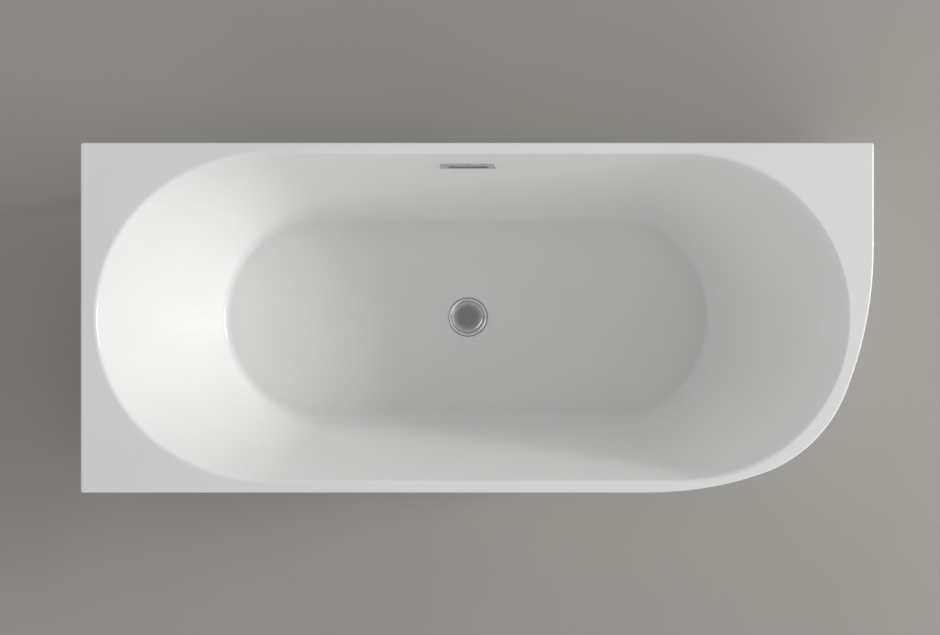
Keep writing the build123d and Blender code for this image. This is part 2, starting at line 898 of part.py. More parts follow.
def make_trap():
    """The shallow trap: a round cup with a threaded collar on top and a socket at the back."""
    top_z = trap_low + trap_height
    cup = drum(trap_radius, trap_low, top_z)
    cup = cup.fillet(trap_round, cup.edges())
    well = drum(trap_radius - trap_wall, trap_low + trap_wall, top_z - trap_wall)
    well = well.fillet(trap_round - trap_wall, well.edges())
    collar = drum(trap_collar_radius, top_z - trap_wall, top_z + trap_collar_height)
    along = Plane(origin=(0, 0, outlet_height), z_dir=(0, 1, 0))
    start = Plane(origin=(0, outlet_pipe_start - bond_gap, outlet_height), z_dir=(0, 1, 0))
    socket = Solid.make_cylinder(
        outlet_pipe_radius + slide_gap + socket_wall, outlet_socket_reach, along
    )
    bore = Solid.make_cylinder(
        outlet_pipe_radius - outlet_pipe_wall, outlet_socket_reach, along
    )
    mouth = Solid.make_cylinder(outlet_pipe_radius + slide_gap, outlet_socket_reach, start)
    entry = cut_drum(drop_pipe_radius + slide_gap, top_z, top_z + trap_collar_height)
    entry = entry & block(
        (-trap_radius, -trap_radius, top_z - trap_wall - bond_gap),
        (trap_radius, trap_radius, top_z + trap_collar_height + overrun),
    )
    trap = (cup + collar + socket) - well - bore - mouth - entry
    return trap.moved(Location((waste_x, waste_y, 0)))


def make_trap_nut():
    """The nut that draws the drop pipe into the trap's collar."""
    nut = union_nut(
        trap_nut_radius, trap_collar_radius, drop_pipe_radius + slide_gap,
        trap_nut_length, nut_lip,
    )
    return nut.moved(Location((waste_x, waste_y, trap_nut_low_z)))


def make_outlet_nut():
    """The nut that holds the outlet pipe in the trap's socket."""
    nut = union_nut(
        outlet_nut_radius, outlet_pipe_radius + slide_gap + socket_wall,
        outlet_pipe_radius + slide_gap, outlet_nut_length, nut_lip,
    )
    nut_y = waste_y + outlet_socket_reach + nut_lip + nut_setback - outlet_nut_length
    return nut.moved(Location((waste_x, nut_y, outlet_height), (-90, 0, 0)))


def make_outlet_pipe():
    """The outlet pipe from the trap towards the back wall, with a stop ring before its spigot."""
    end_y = bath_width / 2 - outlet_wall_gap
    length = end_y - waste_y - outlet_pipe_start
    start = Plane(
        origin=(waste_x, waste_y + outlet_pipe_start, outlet_height), z_dir=(0, 1, 0)
    )
    stop_y = end_y - outlet_spigot - outlet_stop_width
    stop = Plane(origin=(waste_x, stop_y, outlet_height), z_dir=(0, 1, 0))
    outer = Solid.make_cylinder(outlet_pipe_radius, length, start)
    outer += Solid.make_cylinder(outlet_stop_radius, outlet_stop_width, stop)
    bore = outlet_pipe_radius - outlet_pipe_wall
    return outer - Solid.make_cylinder(bore, length, start)


def make_trim():
    """The overflow's trim plate: a slotted bar with two bosses through the basin's wall."""
    trim = plate(trim_width, trim_height, 0, trim_proud, trim_corner)
    trim = trim.fillet(trim_edge_round, trim.faces().sort_by(Axis.Z)[-1].edges())
    trim = trim - slot_bar(trim_slot_width, trim_slot_height, -overrun, overrun)
    for way in (-1, 1):
        x = way * trim_boss_offset
        boss = drum(trim_boss_radius, -trim_boss_length, 0, x, 0)
        pilot = drum(
            screw_radius + thread_gap, -trim_boss_length - overrun,
            box_screw_length - box_back + thread_gap, x, 0,
        )
        trim = trim + boss - pilot
    return on_slope(trim)


def make_overflow_gasket():
    """The rubber gasket between the fibreglass and the overflow box."""
    gasket = plate(box_flange_width, box_flange_height, -gasket_depth, -backing_depth, box_corner)
    slot_margin = 2 * fibreglass_hole_margin
    return on_slope(gasket - slot_bar(
        wall_slot_width + slot_margin, wall_slot_height + slot_margin, -box_back, overrun
    ))


def make_box():
    """The overflow box behind the basin, with a socket straight down for the pipe."""
    shell = plate(box_width, box_height, -box_back, -gasket_depth, box_corner)
    flange = plate(
        box_flange_width, box_flange_height, -gasket_depth - box_flange_thickness,
        -gasket_depth, box_corner,
    )
    well = plate(
        box_width - 2 * box_wall, box_height - 2 * box_wall, box_wall - box_back,
        overrun, box_corner - box_wall,
    )
    holes = [
        cut_drum(screw_radius + thread_gap, -box_back, -box_back, way * trim_boss_offset, 0)
        for way in (-1, 1)
    ]
    front = plate(
        box_flange_width + overrun, bath_height, -gasket_depth, bath_width, box_corner
    )
    socket_radius = pipe_radius + thread_gap + pipe_socket_wall
    socket_top_z = overflow_z - box_height / 2
    socket = drum(socket_radius, box_socket_low_z, socket_top_z, waste_x, pipe_y)
    bore = drum(pipe_radius + thread_gap, -overrun, pipe_insert, 0, 0)
    bore += drum(pipe_radius - pipe_wall, 0, socket_top_z - box_socket_low_z, 0, 0)
    bore = bore.moved(Location((waste_x, pipe_y, box_socket_low_z)))
    solid = on_slope(shell + flange) + socket
    return solid - on_slope(well) - bore - on_slope(front) - on_slope(holes[0] + holes[1])


def make_overflow_screws():
    """The two screws through the back of the box into the trim's bosses."""
    return group(
        on_slope(
            Location((way * trim_boss_offset, 0, -box_back), (180, 0, 0))
            * panhead_screw(box_screw_length)
        )
        for way in (-1, 1)
    )


def make_overflow_pipe():
    """The rigid pipe down behind the basin and over the back rail to the waste body."""
    low = branch_end - branch_way * (pipe_insert - bond_gap)
    top = Vector(waste_x, pipe_y, box_socket_low_z + pipe_insert - bond_gap)
    rise = (pipe_y - low.Y) * branch_way.Z / branch_way.Y
    corner = Vector(waste_x, pipe_y, low.Z + rise)
    path = FilletPolyline(top, corner, low, radius=pipe_elbow_radius)
    start = Plane(origin=tuple(top), z_dir=(0, 0, -1))
    outer = Solid.sweep(Wire.make_circle(pipe_radius, start), path.wire())
    inner = Solid.sweep(Wire.make_circle(pipe_radius - pipe_wall, start), path.wire())
    return outer - inner


def make_pipe_nuts():
    """The two nuts that hold the overflow pipe in its sockets."""
    nut = union_nut(
        pipe_nut_radius, pipe_radius + thread_gap + pipe_socket_wall, pipe_radius + thread_gap,
        pipe_nut_length, pipe_nut_lip,
    )
    setback = pipe_nut_length - pipe_nut_lip - nut_setback
    upper = nut.moved(Location((waste_x, pipe_y, box_socket_low_z + setback), (180, 0, 0)))
    lower_plane = Plane(origin=tuple(branch_end - branch_way * setback), z_dir=tuple(branch_way))
    return group([upper, lower_plane.location * nut])


def make_all():
    """Every piece of the bath by name."""
    pieces = {
        "tub_shell": make_tub(),
        "fibreglass_backing": make_fibreglass(),
        "outer_panel": make_panel(),
        "base_board": make_board(),
        "deck_board_back_left": make_deck_board(-1, 1),
        "deck_board_front_left": make_deck_board(-1, -1),
        "deck_board_back_right": make_deck_board(1, 1),
        "frame_rail_front": make_rail(-1),
        "frame_rail_back": make_rail(1),
        "frame_post_back_left": make_post(-1, 1),
        "frame_post_front_left": make_post(-1, -1),
        "frame_post_back_right": make_post(1, 1),
        "rail_end_caps": make_end_caps(),
        "foot_weld_nuts": make_nuts(weld_nut_flats, weld_nut_low_z, weld_nut_height),
        "foot_lock_nuts": make_nuts(lock_nut_flats, lock_nut_low_z, lock_nut_height),
        "bracket_screws": make_bracket_screws(),
        "board_screws": make_board_screws(),
        "waste_flange": make_waste_flange(),
        "waste_top_gasket": ring(
            top_gasket_outer, drain_hole_radius, dish_z, flange_z, waste_x, waste_y
        ),
        "waste_low_gasket": ring(
            waste_flange_radius, drain_hole_radius, low_gasket_z, fibreglass_low_z,
            waste_x, waste_y,
        ),
        "plug_cap": make_plug_cap(),
        "waste_body": make_waste_body(),
        "trap_body": make_trap(),
        "trap_nut": make_trap_nut(),
        "outlet_nut": make_outlet_nut(),
        "outlet_pipe": make_outlet_pipe(),
        "overflow_trim": make_trim(),
        "overflow_gasket": make_overflow_gasket(),
        "overflow_box": make_box(),
        "overflow_screws": make_overflow_screws(),
        "overflow_pipe": make_overflow_pipe(),
        "overflow_pipe_nuts": make_pipe_nuts(),
    }
    cap_z = basin_floor_z + cap_low
    pieces["plug_seal"] = ring(
        seal_outer_radius, seal_inner_radius, cap_z - seal_thickness, cap_z, waste_x, waste_y
    )
    pieces["plug_sleeve"] = ring(
        sleeve_outer_radius, sleeve_inner_radius, cap_z - sleeve_length, cap_z, waste_x, waste_y
    )
    screw_top_z = tail_low_z + spider_height
    cartridge = drum(
        cartridge_screw_radius, screw_top_z - cartridge_screw_length, screw_top_z,
        waste_x, waste_y,
    )
    pieces["plug_cartridge"] = cartridge + drum(
        cartridge_radius, screw_top_z, screw_top_z + cartridge_length, waste_x, waste_y
    )
    for name, x in zip(("left", "middle", "right"), cross_places):
        pieces[f"frame_cross_{name}"] = make_cross(x)
    for number, (x, y) in enumerate(feet, start=1):
        pieces[f"foot_stud_{number}"] = make_stud(x, y)
        pieces[f"foot_pad_{number}"] = make_pad(x, y)
    for number, place in enumerate(bracket_locations(), start=1):
        pieces[f"panel_bracket_{number}"] = make_bracket(place)
    pieces["panel_blocks"] = group(make_block(place) for place in bracket_locations())
    return pieces


os.makedirs("parts", exist_ok=True)
for name, solid in make_all().items():
    export_step(solid, f"parts/{name}.step")
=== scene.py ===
"""Freestanding corner bath: its modelled surfaces and finishes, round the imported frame.

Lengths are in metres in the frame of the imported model: +Z is up, +X runs towards the rounded
end of the bath, +Y towards the back wall, and the origin is on the floor under the rim's middle.
"""

import json
import logging
import math
from collections.abc import Sequence
from dataclasses import dataclass
from enum import Enum
from typing import Any

import bmesh
import bpy
from mathutils import Matrix, Vector


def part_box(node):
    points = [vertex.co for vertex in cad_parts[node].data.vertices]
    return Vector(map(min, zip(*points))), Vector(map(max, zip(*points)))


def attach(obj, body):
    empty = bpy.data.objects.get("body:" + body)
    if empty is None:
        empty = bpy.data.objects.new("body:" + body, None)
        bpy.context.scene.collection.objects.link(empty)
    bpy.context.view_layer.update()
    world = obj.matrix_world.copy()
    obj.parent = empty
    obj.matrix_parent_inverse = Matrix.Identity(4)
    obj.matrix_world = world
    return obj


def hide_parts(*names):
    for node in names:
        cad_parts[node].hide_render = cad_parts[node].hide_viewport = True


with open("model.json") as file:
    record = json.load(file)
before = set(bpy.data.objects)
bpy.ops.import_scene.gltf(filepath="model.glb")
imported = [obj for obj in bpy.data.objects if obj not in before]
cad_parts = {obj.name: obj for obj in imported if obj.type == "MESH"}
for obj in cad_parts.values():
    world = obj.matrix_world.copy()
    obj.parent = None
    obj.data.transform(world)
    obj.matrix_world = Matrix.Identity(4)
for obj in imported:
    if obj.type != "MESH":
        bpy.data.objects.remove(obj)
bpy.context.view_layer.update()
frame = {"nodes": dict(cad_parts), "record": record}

log = logging.getLogger("bath")
Piece = bpy.types.Object
Loop = list[Vector]
Profile = list[tuple[float, float]]
Socket = bpy.types.NodeSocket
Stops = tuple[tuple[float, str], ...]
UP = Vector((0, 0, 1))
FULL_TURN = 2 * math.pi
MERGE_DISTANCE = 1e-6
FLAT_DEGREES = 0.3
# At scale 1 a wave texture's light and dark bands are each about this wide, in metres
WAVE_BAND = 0.16


class Slot(Enum):
    """The record's material slots that the pieces take their finishes from."""

    ACRYLIC = "acrylic"
    FIBREGLASS = "fibreglass"
    BOARD = "board"
    TIMBER = "timber"
    GALVANISED = "galvanised_steel"
    ZINC = "zinc_steel"
    BLACK_PLASTIC = "black_plastic"
    WHITE_PLASTIC = "white_plastic"
    CHROME = "chrome"
    BRASS = "brass"
    RUBBER = "rubber"


class Ends(Enum):
    """How the ends of a loft are closed."""

    JOINED = "the last loop lies on the first, or each end loop is one point"
    FILLED = "each end loop takes a face"


def linear(colour: str) -> tuple[float, float, float, float]:
    """Turns an sRGB hex colour into the linear colour that a shader takes.

    Args:
        colour: the colour as #RRGGBB.

    Returns:
        Red, green, blue and a full alpha.
    """
    shares = [int(colour[place:place + 2], 16) / 255 for place in (1, 3, 5)]
    low, knee, power, offset, slope = 0.04045, 12.92, 2.4, 0.055, 1.055
    light = [s / knee if s <= low else ((s + offset) / slope) ** power for s in shares]
    return (*light, 1.0)


def set_stops(ramp: bpy.types.ColorRamp, stops: Stops) -> None:
    """Gives a colour ramp its stops.

    Args:
        ramp: the ramp.
        stops: places from 0 to 1, each with its sRGB hex colour.
    """
    while len(ramp.elements) < len(stops):
        ramp.elements.new(1.0)
    for element, (place, colour) in zip(ramp.elements, stops):
        element.position = place
        element.color = linear(colour)


@dataclass(frozen=True)
class Span:
    """A range that a value is mapped onto, with the part of the value's own range that is used."""

    low: float
    high: float
    start: float = 0.3
    end: float = 0.7

    @property
    def settings(self) -> dict[str, float]:
        """The range as the inputs of a node."""
        names = ("From Min", "From Max", "To Min", "To Max")
        return dict(zip(names, (self.start, self.end, self.low, self.high)))


@dataclass(frozen=True)
class Recipe:
    """The nodes of one finish, or of the room's light, while they are put together."""

    tree: bpy.types.NodeTree
    shader: bpy.types.Node
    place: Socket

    @property
    def laid(self) -> dict[str, Socket]:
        """The link that lays a pattern straight on the coordinates."""
        return {"Vector": self.place}

    def add_node(
        self, kind: str, settings: dict[Any, Any], links: dict[Any, Socket], result: str | int = 0
    ) -> Socket:
        """Adds one node with its settings and links.

        Args:
            kind: the node's type, without its ShaderNode prefix.
            settings: values by property name, or by the name or number of an input socket; the
                stops of a colour ramp go by the name stops.
            links: output sockets by the name or number of the input that each one feeds.
            result: the name or number of the output that is wanted.

        Returns:
            The wanted output.
        """
        node = self.tree.nodes.new(f"ShaderNode{kind}")
        for key, value in settings.items():
            if key == "stops":
                set_stops(node.color_ramp, value)
            elif isinstance(key, str) and hasattr(node, key):
                setattr(node, key, value)
            else:
                node.inputs[key].default_value = value
        for key, source in links.items():
            self.tree.links.new(source, node.inputs[key])
        return node.outputs[result]

    def feed(self, name: str, source: Socket) -> None:
        """Feeds one of the shader's inputs."""
        self.tree.links.new(source, self.shader.inputs[name])


@dataclass(frozen=True)
class Patterns:
    """What a finish lays its colours, its gloss and its relief over."""

    colour: Socket
    gloss: Socket | None = None
    relief: Socket | None = None


@dataclass(frozen=True)
class Finish:
    """What all finishes share: colours, a roughness and a relief, each laid over a pattern.

    The relief is the real height of its bumps in metres, and its share is how much of it is used.
    """

    name: str
    tints: Stops = ((0.0, "#000000"), (1.0, "#FFFFFF"))
    rough: Span = Span(0.5, 0.5)
    relief: float = 0.0
    relief_share: float = 0.0
    metallic: float = 0.0
    index: float | None = None

    def material(self) -> bpy.types.Material:
        """Gives the finish's material, made at its first use.

        Returns:
            The material.
        """
        found = bpy.data.materials.get(self.name)
        if found:
            return found
        made = bpy.data.materials.new(self.name)
        made.use_nodes = True
        tree = made.node_tree
        shader = tree.nodes["Principled BSDF"]
        mix = Recipe(tree, shader, tree.nodes.new("ShaderNodeTexCoord").outputs["Object"])
        over = self.patterns(mix)
        colour = mix.add_node("ValToRGB", {"stops": self.tints}, {"Fac": over.colour})
        mix.feed("Base Color", colour)
        shader.inputs["Metallic"].default_value = self.metallic
        if self.index is not None:
            shader.inputs["IOR"].default_value = self.index
        if over.gloss is None:
            shader.inputs["Roughness"].default_value = self.rough.low
        else:
            rough = mix.add_node("MapRange", self.rough.settings, {"Value": over.gloss})
            mix.feed("Roughness", rough)
        if over.relief is not None:
            height = {"Distance": self.relief, "Strength": self.relief_share}
            mix.feed("Normal", mix.add_node("Bump", height, {"Height": over.relief}))
        log.info("finish %s", self.name)
        return made

    def patterns(self, mix: Recipe) -> Patterns:
        """Makes the finish's own patterns.

        Args:
            mix: the material's nodes.

        Returns:
            What the colours, the gloss and the relief are laid over.
        """
        raise NotImplementedError


@dataclass(frozen=True)
class SanitaryAcrylic(Finish):
    """Vacuum-formed cast acrylic: a clean white gloss with a trace of waviness in reflections."""

    tints: Stops = ((0.35, "#F1F1F0"), (0.65, "#F4F4F3"))
    rough: Span = Span(0.15, 0.20)
    relief: float = 0.0003
    relief_share: float = 0.05
    index: float | None = 1.49
    cloud: float = 0.30
    haze: float = 0.05
    ripple: float = 0.022

    def patterns(self, mix: Recipe) -> Patterns:
        """Makes slow colour clouds, faint haze in the gloss and the forming ripple.

        Args:
            mix: the material's nodes.

        Returns:
            The clouds, the haze and the ripple.
        """
        cloud = mix.add_node("TexNoise", {"Scale": 1 / self.cloud, "Detail": 2.0}, mix.laid)
        haze = mix.add_node("TexNoise", {"Scale": 1 / self.haze, "Detail": 4.0}, mix.laid)
        ripple = mix.add_node("TexNoise", {"Scale": 1 / self.ripple, "Detail": 1.0}, mix.laid)
        return Patterns(cloud, haze, ripple)


@dataclass(frozen=True)
class ChoppedFibreglass(Finish):
    """Sprayed chopped-strand laminate: short crossing fibres under a rough, pale green resin."""

    tints: Stops = ((0.62, "#9DA18F"), (0.85, "#BFC3B2"), (1.0, "#DADCCD"))
    rough: Span = Span(0.35, 0.6)
    relief: float = 0.0009
    relief_share: float = 0.8
    index: float | None = 1.54
    strand: float = 0.0045
    strand_length: float = 0.030
    strand_bend: float = 0.8
    lay_turns: tuple[float, float] = (0.5, 1.9)
    lump: float = 0.018
    lump_share: float = 0.6

    def patterns(self, mix: Recipe) -> Patterns:
        """Makes two crossing lays of strands under lumps of resin.

        Args:
            mix: the material's nodes.

        Returns:
            The strands with the lumps for colour and relief, and the lumps for the gloss.
        """
        settings = {"Scale": 1 / self.strand, "Detail": 3.0, "Distortion": self.strand_bend}
        thin = self.strand / self.strand_length
        lays = []
        for turn in self.lay_turns:
            turned = {"Rotation": (turn, turn, turn), "Scale": (1, thin, 1)}
            way = mix.add_node("Mapping", turned, mix.laid)
            lays.append(mix.add_node("TexNoise", settings, {"Vector": way}))
        strands = mix.add_node("Math", {"operation": "MAXIMUM"}, dict(enumerate(lays)))
        lumps = mix.add_node("TexNoise", {"Scale": 1 / self.lump, "Detail": 4.0}, mix.laid)
        height = mix.add_node(
            "Math", {"operation": "MULTIPLY_ADD", 1: self.lump_share}, {0: lumps, 2: strands}
        )
        return Patterns(height, lumps, height)


@dataclass(frozen=True)
class Chipboard(Finish):
    """Pressed chipboard: pale and dark flakes a few millimetres long, dull and slightly pitted."""

    tints: Stops = ((0.1, "#8A6B45"), (0.45, "#B3946A"), (0.9, "#CDB48C"))
    rough: Span = Span(0.6, 0.85)
    relief: float = 0.0003
    relief_share: float = 0.7
    flake: float = 0.005
    flake_squash: float = 0.45
    flake_turn: float = 0.4
    flake_share: float = 0.7
    dust: float = 0.0015

    def patterns(self, mix: Recipe) -> Patterns:
        """Makes drawn-out flakes with dust between them.

        Args:
            mix: the material's nodes.

        Returns:
            The dusty flakes for colour and relief, and the dust for the gloss.
        """
        turned = {"Scale": (1.0, self.flake_squash, 1.0), "Rotation": (0.0, 0.0, self.flake_turn)}
        way = mix.add_node("Mapping", turned, mix.laid)
        cells = mix.add_node("TexVoronoi", {"Scale": 1 / self.flake}, {"Vector": way}, "Color")
        flakes = mix.add_node("SeparateColor", {}, {"Color": cells}, "Red")
        dust = mix.add_node("TexNoise", {"Scale": 1 / self.dust, "Detail": 3.0}, mix.laid)
        rest = Span(0.0, 1.0 - self.flake_share).settings
        settings = {"operation": "MULTIPLY_ADD", 1: self.flake_share}
        links = {0: flakes, 2: mix.add_node("MapRange", rest, {"Value": dust})}
        dusty = mix.add_node("Math", settings, links)
        return Patterns(dusty, dust, dusty)


@dataclass(frozen=True)
class SawnSoftwood(Finish):
    """Sawn softwood: straight amber growth lines across X and the fine furrows of a saw."""

    tints: Stops = ((0.0, "#DDBE8C"), (1.0, "#B27E45"))
    rough: Span = Span(0.75, 0.75)
    relief: float = 0.0002
    relief_share: float = 0.8
    ring_width: float = 0.006
    ring_stretch: float = 0.08
    ring_bend: float = 3.0
    furrow: float = 0.0012
    furrow_bend: float = 0.6

    def patterns(self, mix: Recipe) -> Patterns:
        """Makes growth rings along the block and the saw's furrows.

        Args:
            mix: the material's nodes.

        Returns:
            The rings and the furrows.
        """
        way = mix.add_node("Mapping", {"Scale": (self.ring_stretch, 1.0, 1.0)}, mix.laid)
        settings = {
            "wave_type": "RINGS", "rings_direction": "X", "Scale": WAVE_BAND / self.ring_width,
            "Distortion": self.ring_bend, "Detail": 3.0,
        }
        rings = mix.add_node("TexWave", settings, {"Vector": way}, "Fac")
        settings = {"Scale": 1 / self.furrow, "Detail": 2.0, "Distortion": self.furrow_bend}
        return Patterns(rings, relief=mix.add_node("TexNoise", settings, mix.laid))


@dataclass(frozen=True)
class GalvanisedSteel(Finish):
    """Hot-dip galvanised tube: grey zinc crystals in patches, each a little lighter or darker."""

    tints: Stops = ((0.1, "#8F9599"), (0.9, "#B9BDC0"))
    rough: Span = Span(0.38, 0.55, 0.0, 1.0)
    relief: float = 0.00012
    relief_share: float = 0.5
    metallic: float = 1.0
    spangle: float = 0.011
    spangle_share: float = 0.6
    drag: float = 0.003

    def patterns(self, mix: Recipe) -> Patterns:
        """Makes the zinc's spangle, clouded a little, and fine drag marks.

        Args:
            mix: the material's nodes.

        Returns:
            The spangle for colour and gloss, and the drag marks for the relief.
        """
        cloud = mix.add_node("TexNoise", {"Scale": 1 / self.spangle, "Detail": 2.0}, mix.laid)
        cells = mix.add_node("TexVoronoi", {"Scale": 1 / self.spangle}, mix.laid, "Color")
        crystals = mix.add_node("SeparateColor", {}, {"Color": cells}, "Green")
        rest = Span(0.0, 1.0 - self.spangle_share).settings
        settings = {"operation": "MULTIPLY_ADD", 1: self.spangle_share}
        links = {0: crystals, 2: mix.add_node("MapRange", rest, {"Value": cloud})}
        spangle = mix.add_node("Math", settings, links)
        drag = mix.add_node("TexNoise", {"Scale": 1 / self.drag, "Detail": 3.0}, mix.laid)
        return Patterns(spangle, spangle, drag)


@dataclass(frozen=True)
class ZincPlate(Finish):
    """Bright zinc plate on turned steel: blue-grey with faint straw patches and handling marks.

    Real scuffs are a tenth of a millimetre wide, and are drawn coarser so that they show.
    """

    tints: Stops = ((0.4, "#AEB6BF"), (0.7, "#BFB89F"))
    rough: Span = Span(0.2, 0.38)
    relief: float = 0.00005
    relief_share: float = 0.5
    metallic: float = 1.0
    patch: float = 0.008
    scuff: float = 0.0012

    def patterns(self, mix: Recipe) -> Patterns:
        """Makes passivation patches in the colour and scuffs in the gloss.

        Args:
            mix: the material's nodes.

        Returns:
            The patches, and the scuffs for both gloss and relief.
        """
        patch = mix.add_node("TexNoise", {"Scale": 1 / self.patch, "Detail": 3.0}, mix.laid)
        scuff = mix.add_node("TexNoise", {"Scale": 1 / self.scuff, "Detail": 4.0}, mix.laid)
        return Patterns(patch, scuff, scuff)


@dataclass(frozen=True)
class PlatedMetal(Finish):
    """Chrome or nickel plate over polished brass: a cool mirror with water haze in its gloss."""

    tints: Stops = ((0.35, "#C4C5C6"), (0.7, "#BABCBD"))
    rough: Span = Span(0.07, 0.12)
    metallic: float = 1.0
    smear: float = 0.012
    smear_bend: float = 0.5

    def patterns(self, mix: Recipe) -> Patterns:
        """Makes smears of dried water.

        Args:
            mix: the material's nodes.

        Returns:
            The smears, for both colour and gloss.
        """
        settings = {"Scale": 1 / self.smear, "Detail": 4.0, "Distortion": self.smear_bend}
        smear = mix.add_node("TexNoise", settings, mix.laid)
        return Patterns(smear, smear)


@dataclass(frozen=True)
class TurnedBrass(Finish):
    """Turned brass: warm yellow with tool rings too fine to feel.

    Real tool rings are a tenth of a millimetre apart, and are drawn coarser so that they show.
    """

    tints: Stops = ((0.4, "#C9A557"), (0.75, "#A8853F"))
    rough: Span = Span(0.28, 0.28)
    relief: float = 0.00003
    relief_share: float = 0.6
    metallic: float = 1.0
    patch: float = 0.004
    cut: float = 0.0008

    def patterns(self, mix: Recipe) -> Patterns:
        """Makes patches of tarnish and the turning marks up the bar.

        Args:
            mix: the material's nodes.

        Returns:
            The patches and the turning marks.
        """
        patch = mix.add_node("TexNoise", {"Scale": 1 / self.patch, "Detail": 3.0}, mix.laid)
        settings = {"bands_direction": "Z", "Scale": WAVE_BAND / self.cut}
        return Patterns(patch, relief=mix.add_node("TexWave", settings, mix.laid, "Fac"))


@dataclass(frozen=True)
class MouldedPlastic(Finish):
    """Injection-moulded plastic: one colour with a fine spark-eroded grain that breaks its gloss.

    Real grain is a tenth of a millimetre wide, and is drawn coarser so that it shows.
    """

    tints: Stops = ((0.35, "#E4E4DF"), (0.7, "#DAD9D2"))
    rough: Span = Span(0.32, 0.45)
    relief: float = 0.00005
    relief_share: float = 0.6
    index: float | None = 1.5
    grain: float = 0.0009
    flow: float = 0.03
    flow_bend: float = 1.0

    def patterns(self, mix: Recipe) -> Patterns:
        """Makes flow marks in the colour and the mould's grain.

        Args:
            mix: the material's nodes.

        Returns:
            The flow marks, and the grain for both gloss and relief.
        """
        settings = {"Scale": 1 / self.flow, "Detail": 2.0, "Distortion": self.flow_bend}
        flow = mix.add_node("TexNoise", settings, mix.laid)
        grain = mix.add_node("TexNoise", {"Scale": 1 / self.grain, "Detail": 2.0}, mix.laid)
        return Patterns(flow, grain, grain)


@dataclass(frozen=True)
class PouredFloor(Finish):
    """A poured pale floor: matt warm grey with slow clouds from the trowel."""

    tints: Stops = ((0.35, "#A6A39E"), (0.65, "#ABA8A3"))
    rough: Span = Span(0.75, 0.75)
    cloud: float = 0.9

    def patterns(self, mix: Recipe) -> Patterns:
        """Makes the floor's slow clouds."""
        settings = {"Scale": 1 / self.cloud, "Detail": 3.0}
        return Patterns(mix.add_node("TexNoise", settings, mix.laid))


FINISHES: dict[Slot, Finish] = {
    Slot.ACRYLIC: SanitaryAcrylic("sanitary_acrylic_vacuum_formed"),
    Slot.FIBREGLASS: ChoppedFibreglass("fibreglass_sprayed_chopped_strand"),
    Slot.BOARD: Chipboard("chipboard_pressed"),
    Slot.TIMBER: SawnSoftwood("softwood_sawn"),
    Slot.GALVANISED: GalvanisedSteel("steel_hot_dip_galvanised"),
    Slot.ZINC: ZincPlate("steel_zinc_plated"),
    Slot.BLACK_PLASTIC: MouldedPlastic(
        "nylon_black_moulded", tints=((0.35, "#17171A"), (0.7, "#1E1E20")), rough=Span(0.42, 0.58)
    ),
    Slot.WHITE_PLASTIC: MouldedPlastic("polypropylene_white_moulded"),
    Slot.CHROME: PlatedMetal("brass_chrome_plated"),
    Slot.BRASS: TurnedBrass("brass_turned"),
    Slot.RUBBER: MouldedPlastic(
        "rubber_black_moulded", tints=((0.35, "#1B1B1B"), (0.7, "#242424")), rough=Span(0.6, 0.75),
        relief=0.0001,
    ),
}


def deselect_all() -> None:
    """Deselects every object, so that an operator acts on the next piece alone."""
    bpy.ops.object.select_all(action="DESELECT")
    bpy.context.view_layer.objects.active = None


def pick(piece: Piece) -> None:
    """Selects one piece alone and makes it active.

    Args:
        piece: the piece.
    """
    deselect_all()
    piece.select_set(True)
    bpy.context.view_layer.objects.active = piece


def put(piece: Piece, slot: Slot, body: str, *nodes: str, finish: Finish | None = None) -> Piece:
    """Dresses a finished piece and gives it to its body.

    Args:
        piece: the new piece.
        slot: the material slot that its finish stands for.
        body: the body that it moves with.
        *nodes: the nodes that it stands for.
        finish: another finish than the slot's usual one.

    Returns:
        The piece.
    """
    piece.data.materials.clear()
    piece.data.materials.append((finish or FINISHES[slot]).material())
    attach(piece, body)
    if nodes:
        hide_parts(*nodes)
    log.info("%s on %s, %d faces", piece.name, body, len(piece.data.polygons))
    return piece


def smooth(piece: Piece, degrees: float) -> None:
    """Smooths a piece's shading except over edges sharper than an angle.

    Args:
        piece: the piece.
        degrees: the angle at which an edge stays sharp.
    """
    pick(piece)
    bpy.ops.object.shade_smooth_by_angle(angle=math.radians(degrees))


def apply_modifier(piece: Piece, kind: str, **settings: Any) -> None:
    """Adds a modifier to a piece and applies it.

    Args:
        piece: the piece.
        kind: the modifier's type.
        **settings: its properties.
    """
    modifier = piece.modifiers.new(kind.lower(), kind)
    for name, value in settings.items():
        setattr(modifier, name, value)
    pick(piece)
    bpy.ops.object.modifier_apply(modifier=modifier.name)


def cut(piece: Piece, cutter: Piece) -> None:
    """Cuts a piece by another one, which is then removed.

    Args:
        piece: the piece that is cut.
        cutter: the solid that cuts it.
    """
    apply_modifier(piece, "BOOLEAN", operation="DIFFERENCE", object=cutter, solver="EXACT")
    bpy.data.objects.remove(cutter, do_unlink=True)


def join(piece: Piece, parts: Sequence[Piece]) -> None:
    """Joins parts to a piece.

    Args:
        piece: the piece that takes them.
        parts: the parts.
    """
    pick(piece)
    for part in parts:
        part.select_set(True)
    bpy.ops.object.join()


def level(angle: float) -> Vector:
    """Gives the level way at an angle from +X, in radians."""
    return Vector((math.cos(angle), math.sin(angle), 0))


def circle(centre: Vector, radius: float, count: int) -> Loop:
    """Gives points clockwise round an upright axis.

    Args:
        centre: the circle's centre.
        radius: its radius.
        count: how many points.

    Returns:
        The points.
    """
    return [centre + radius * level(-FULL_TURN * k / count) for k in range(count)]


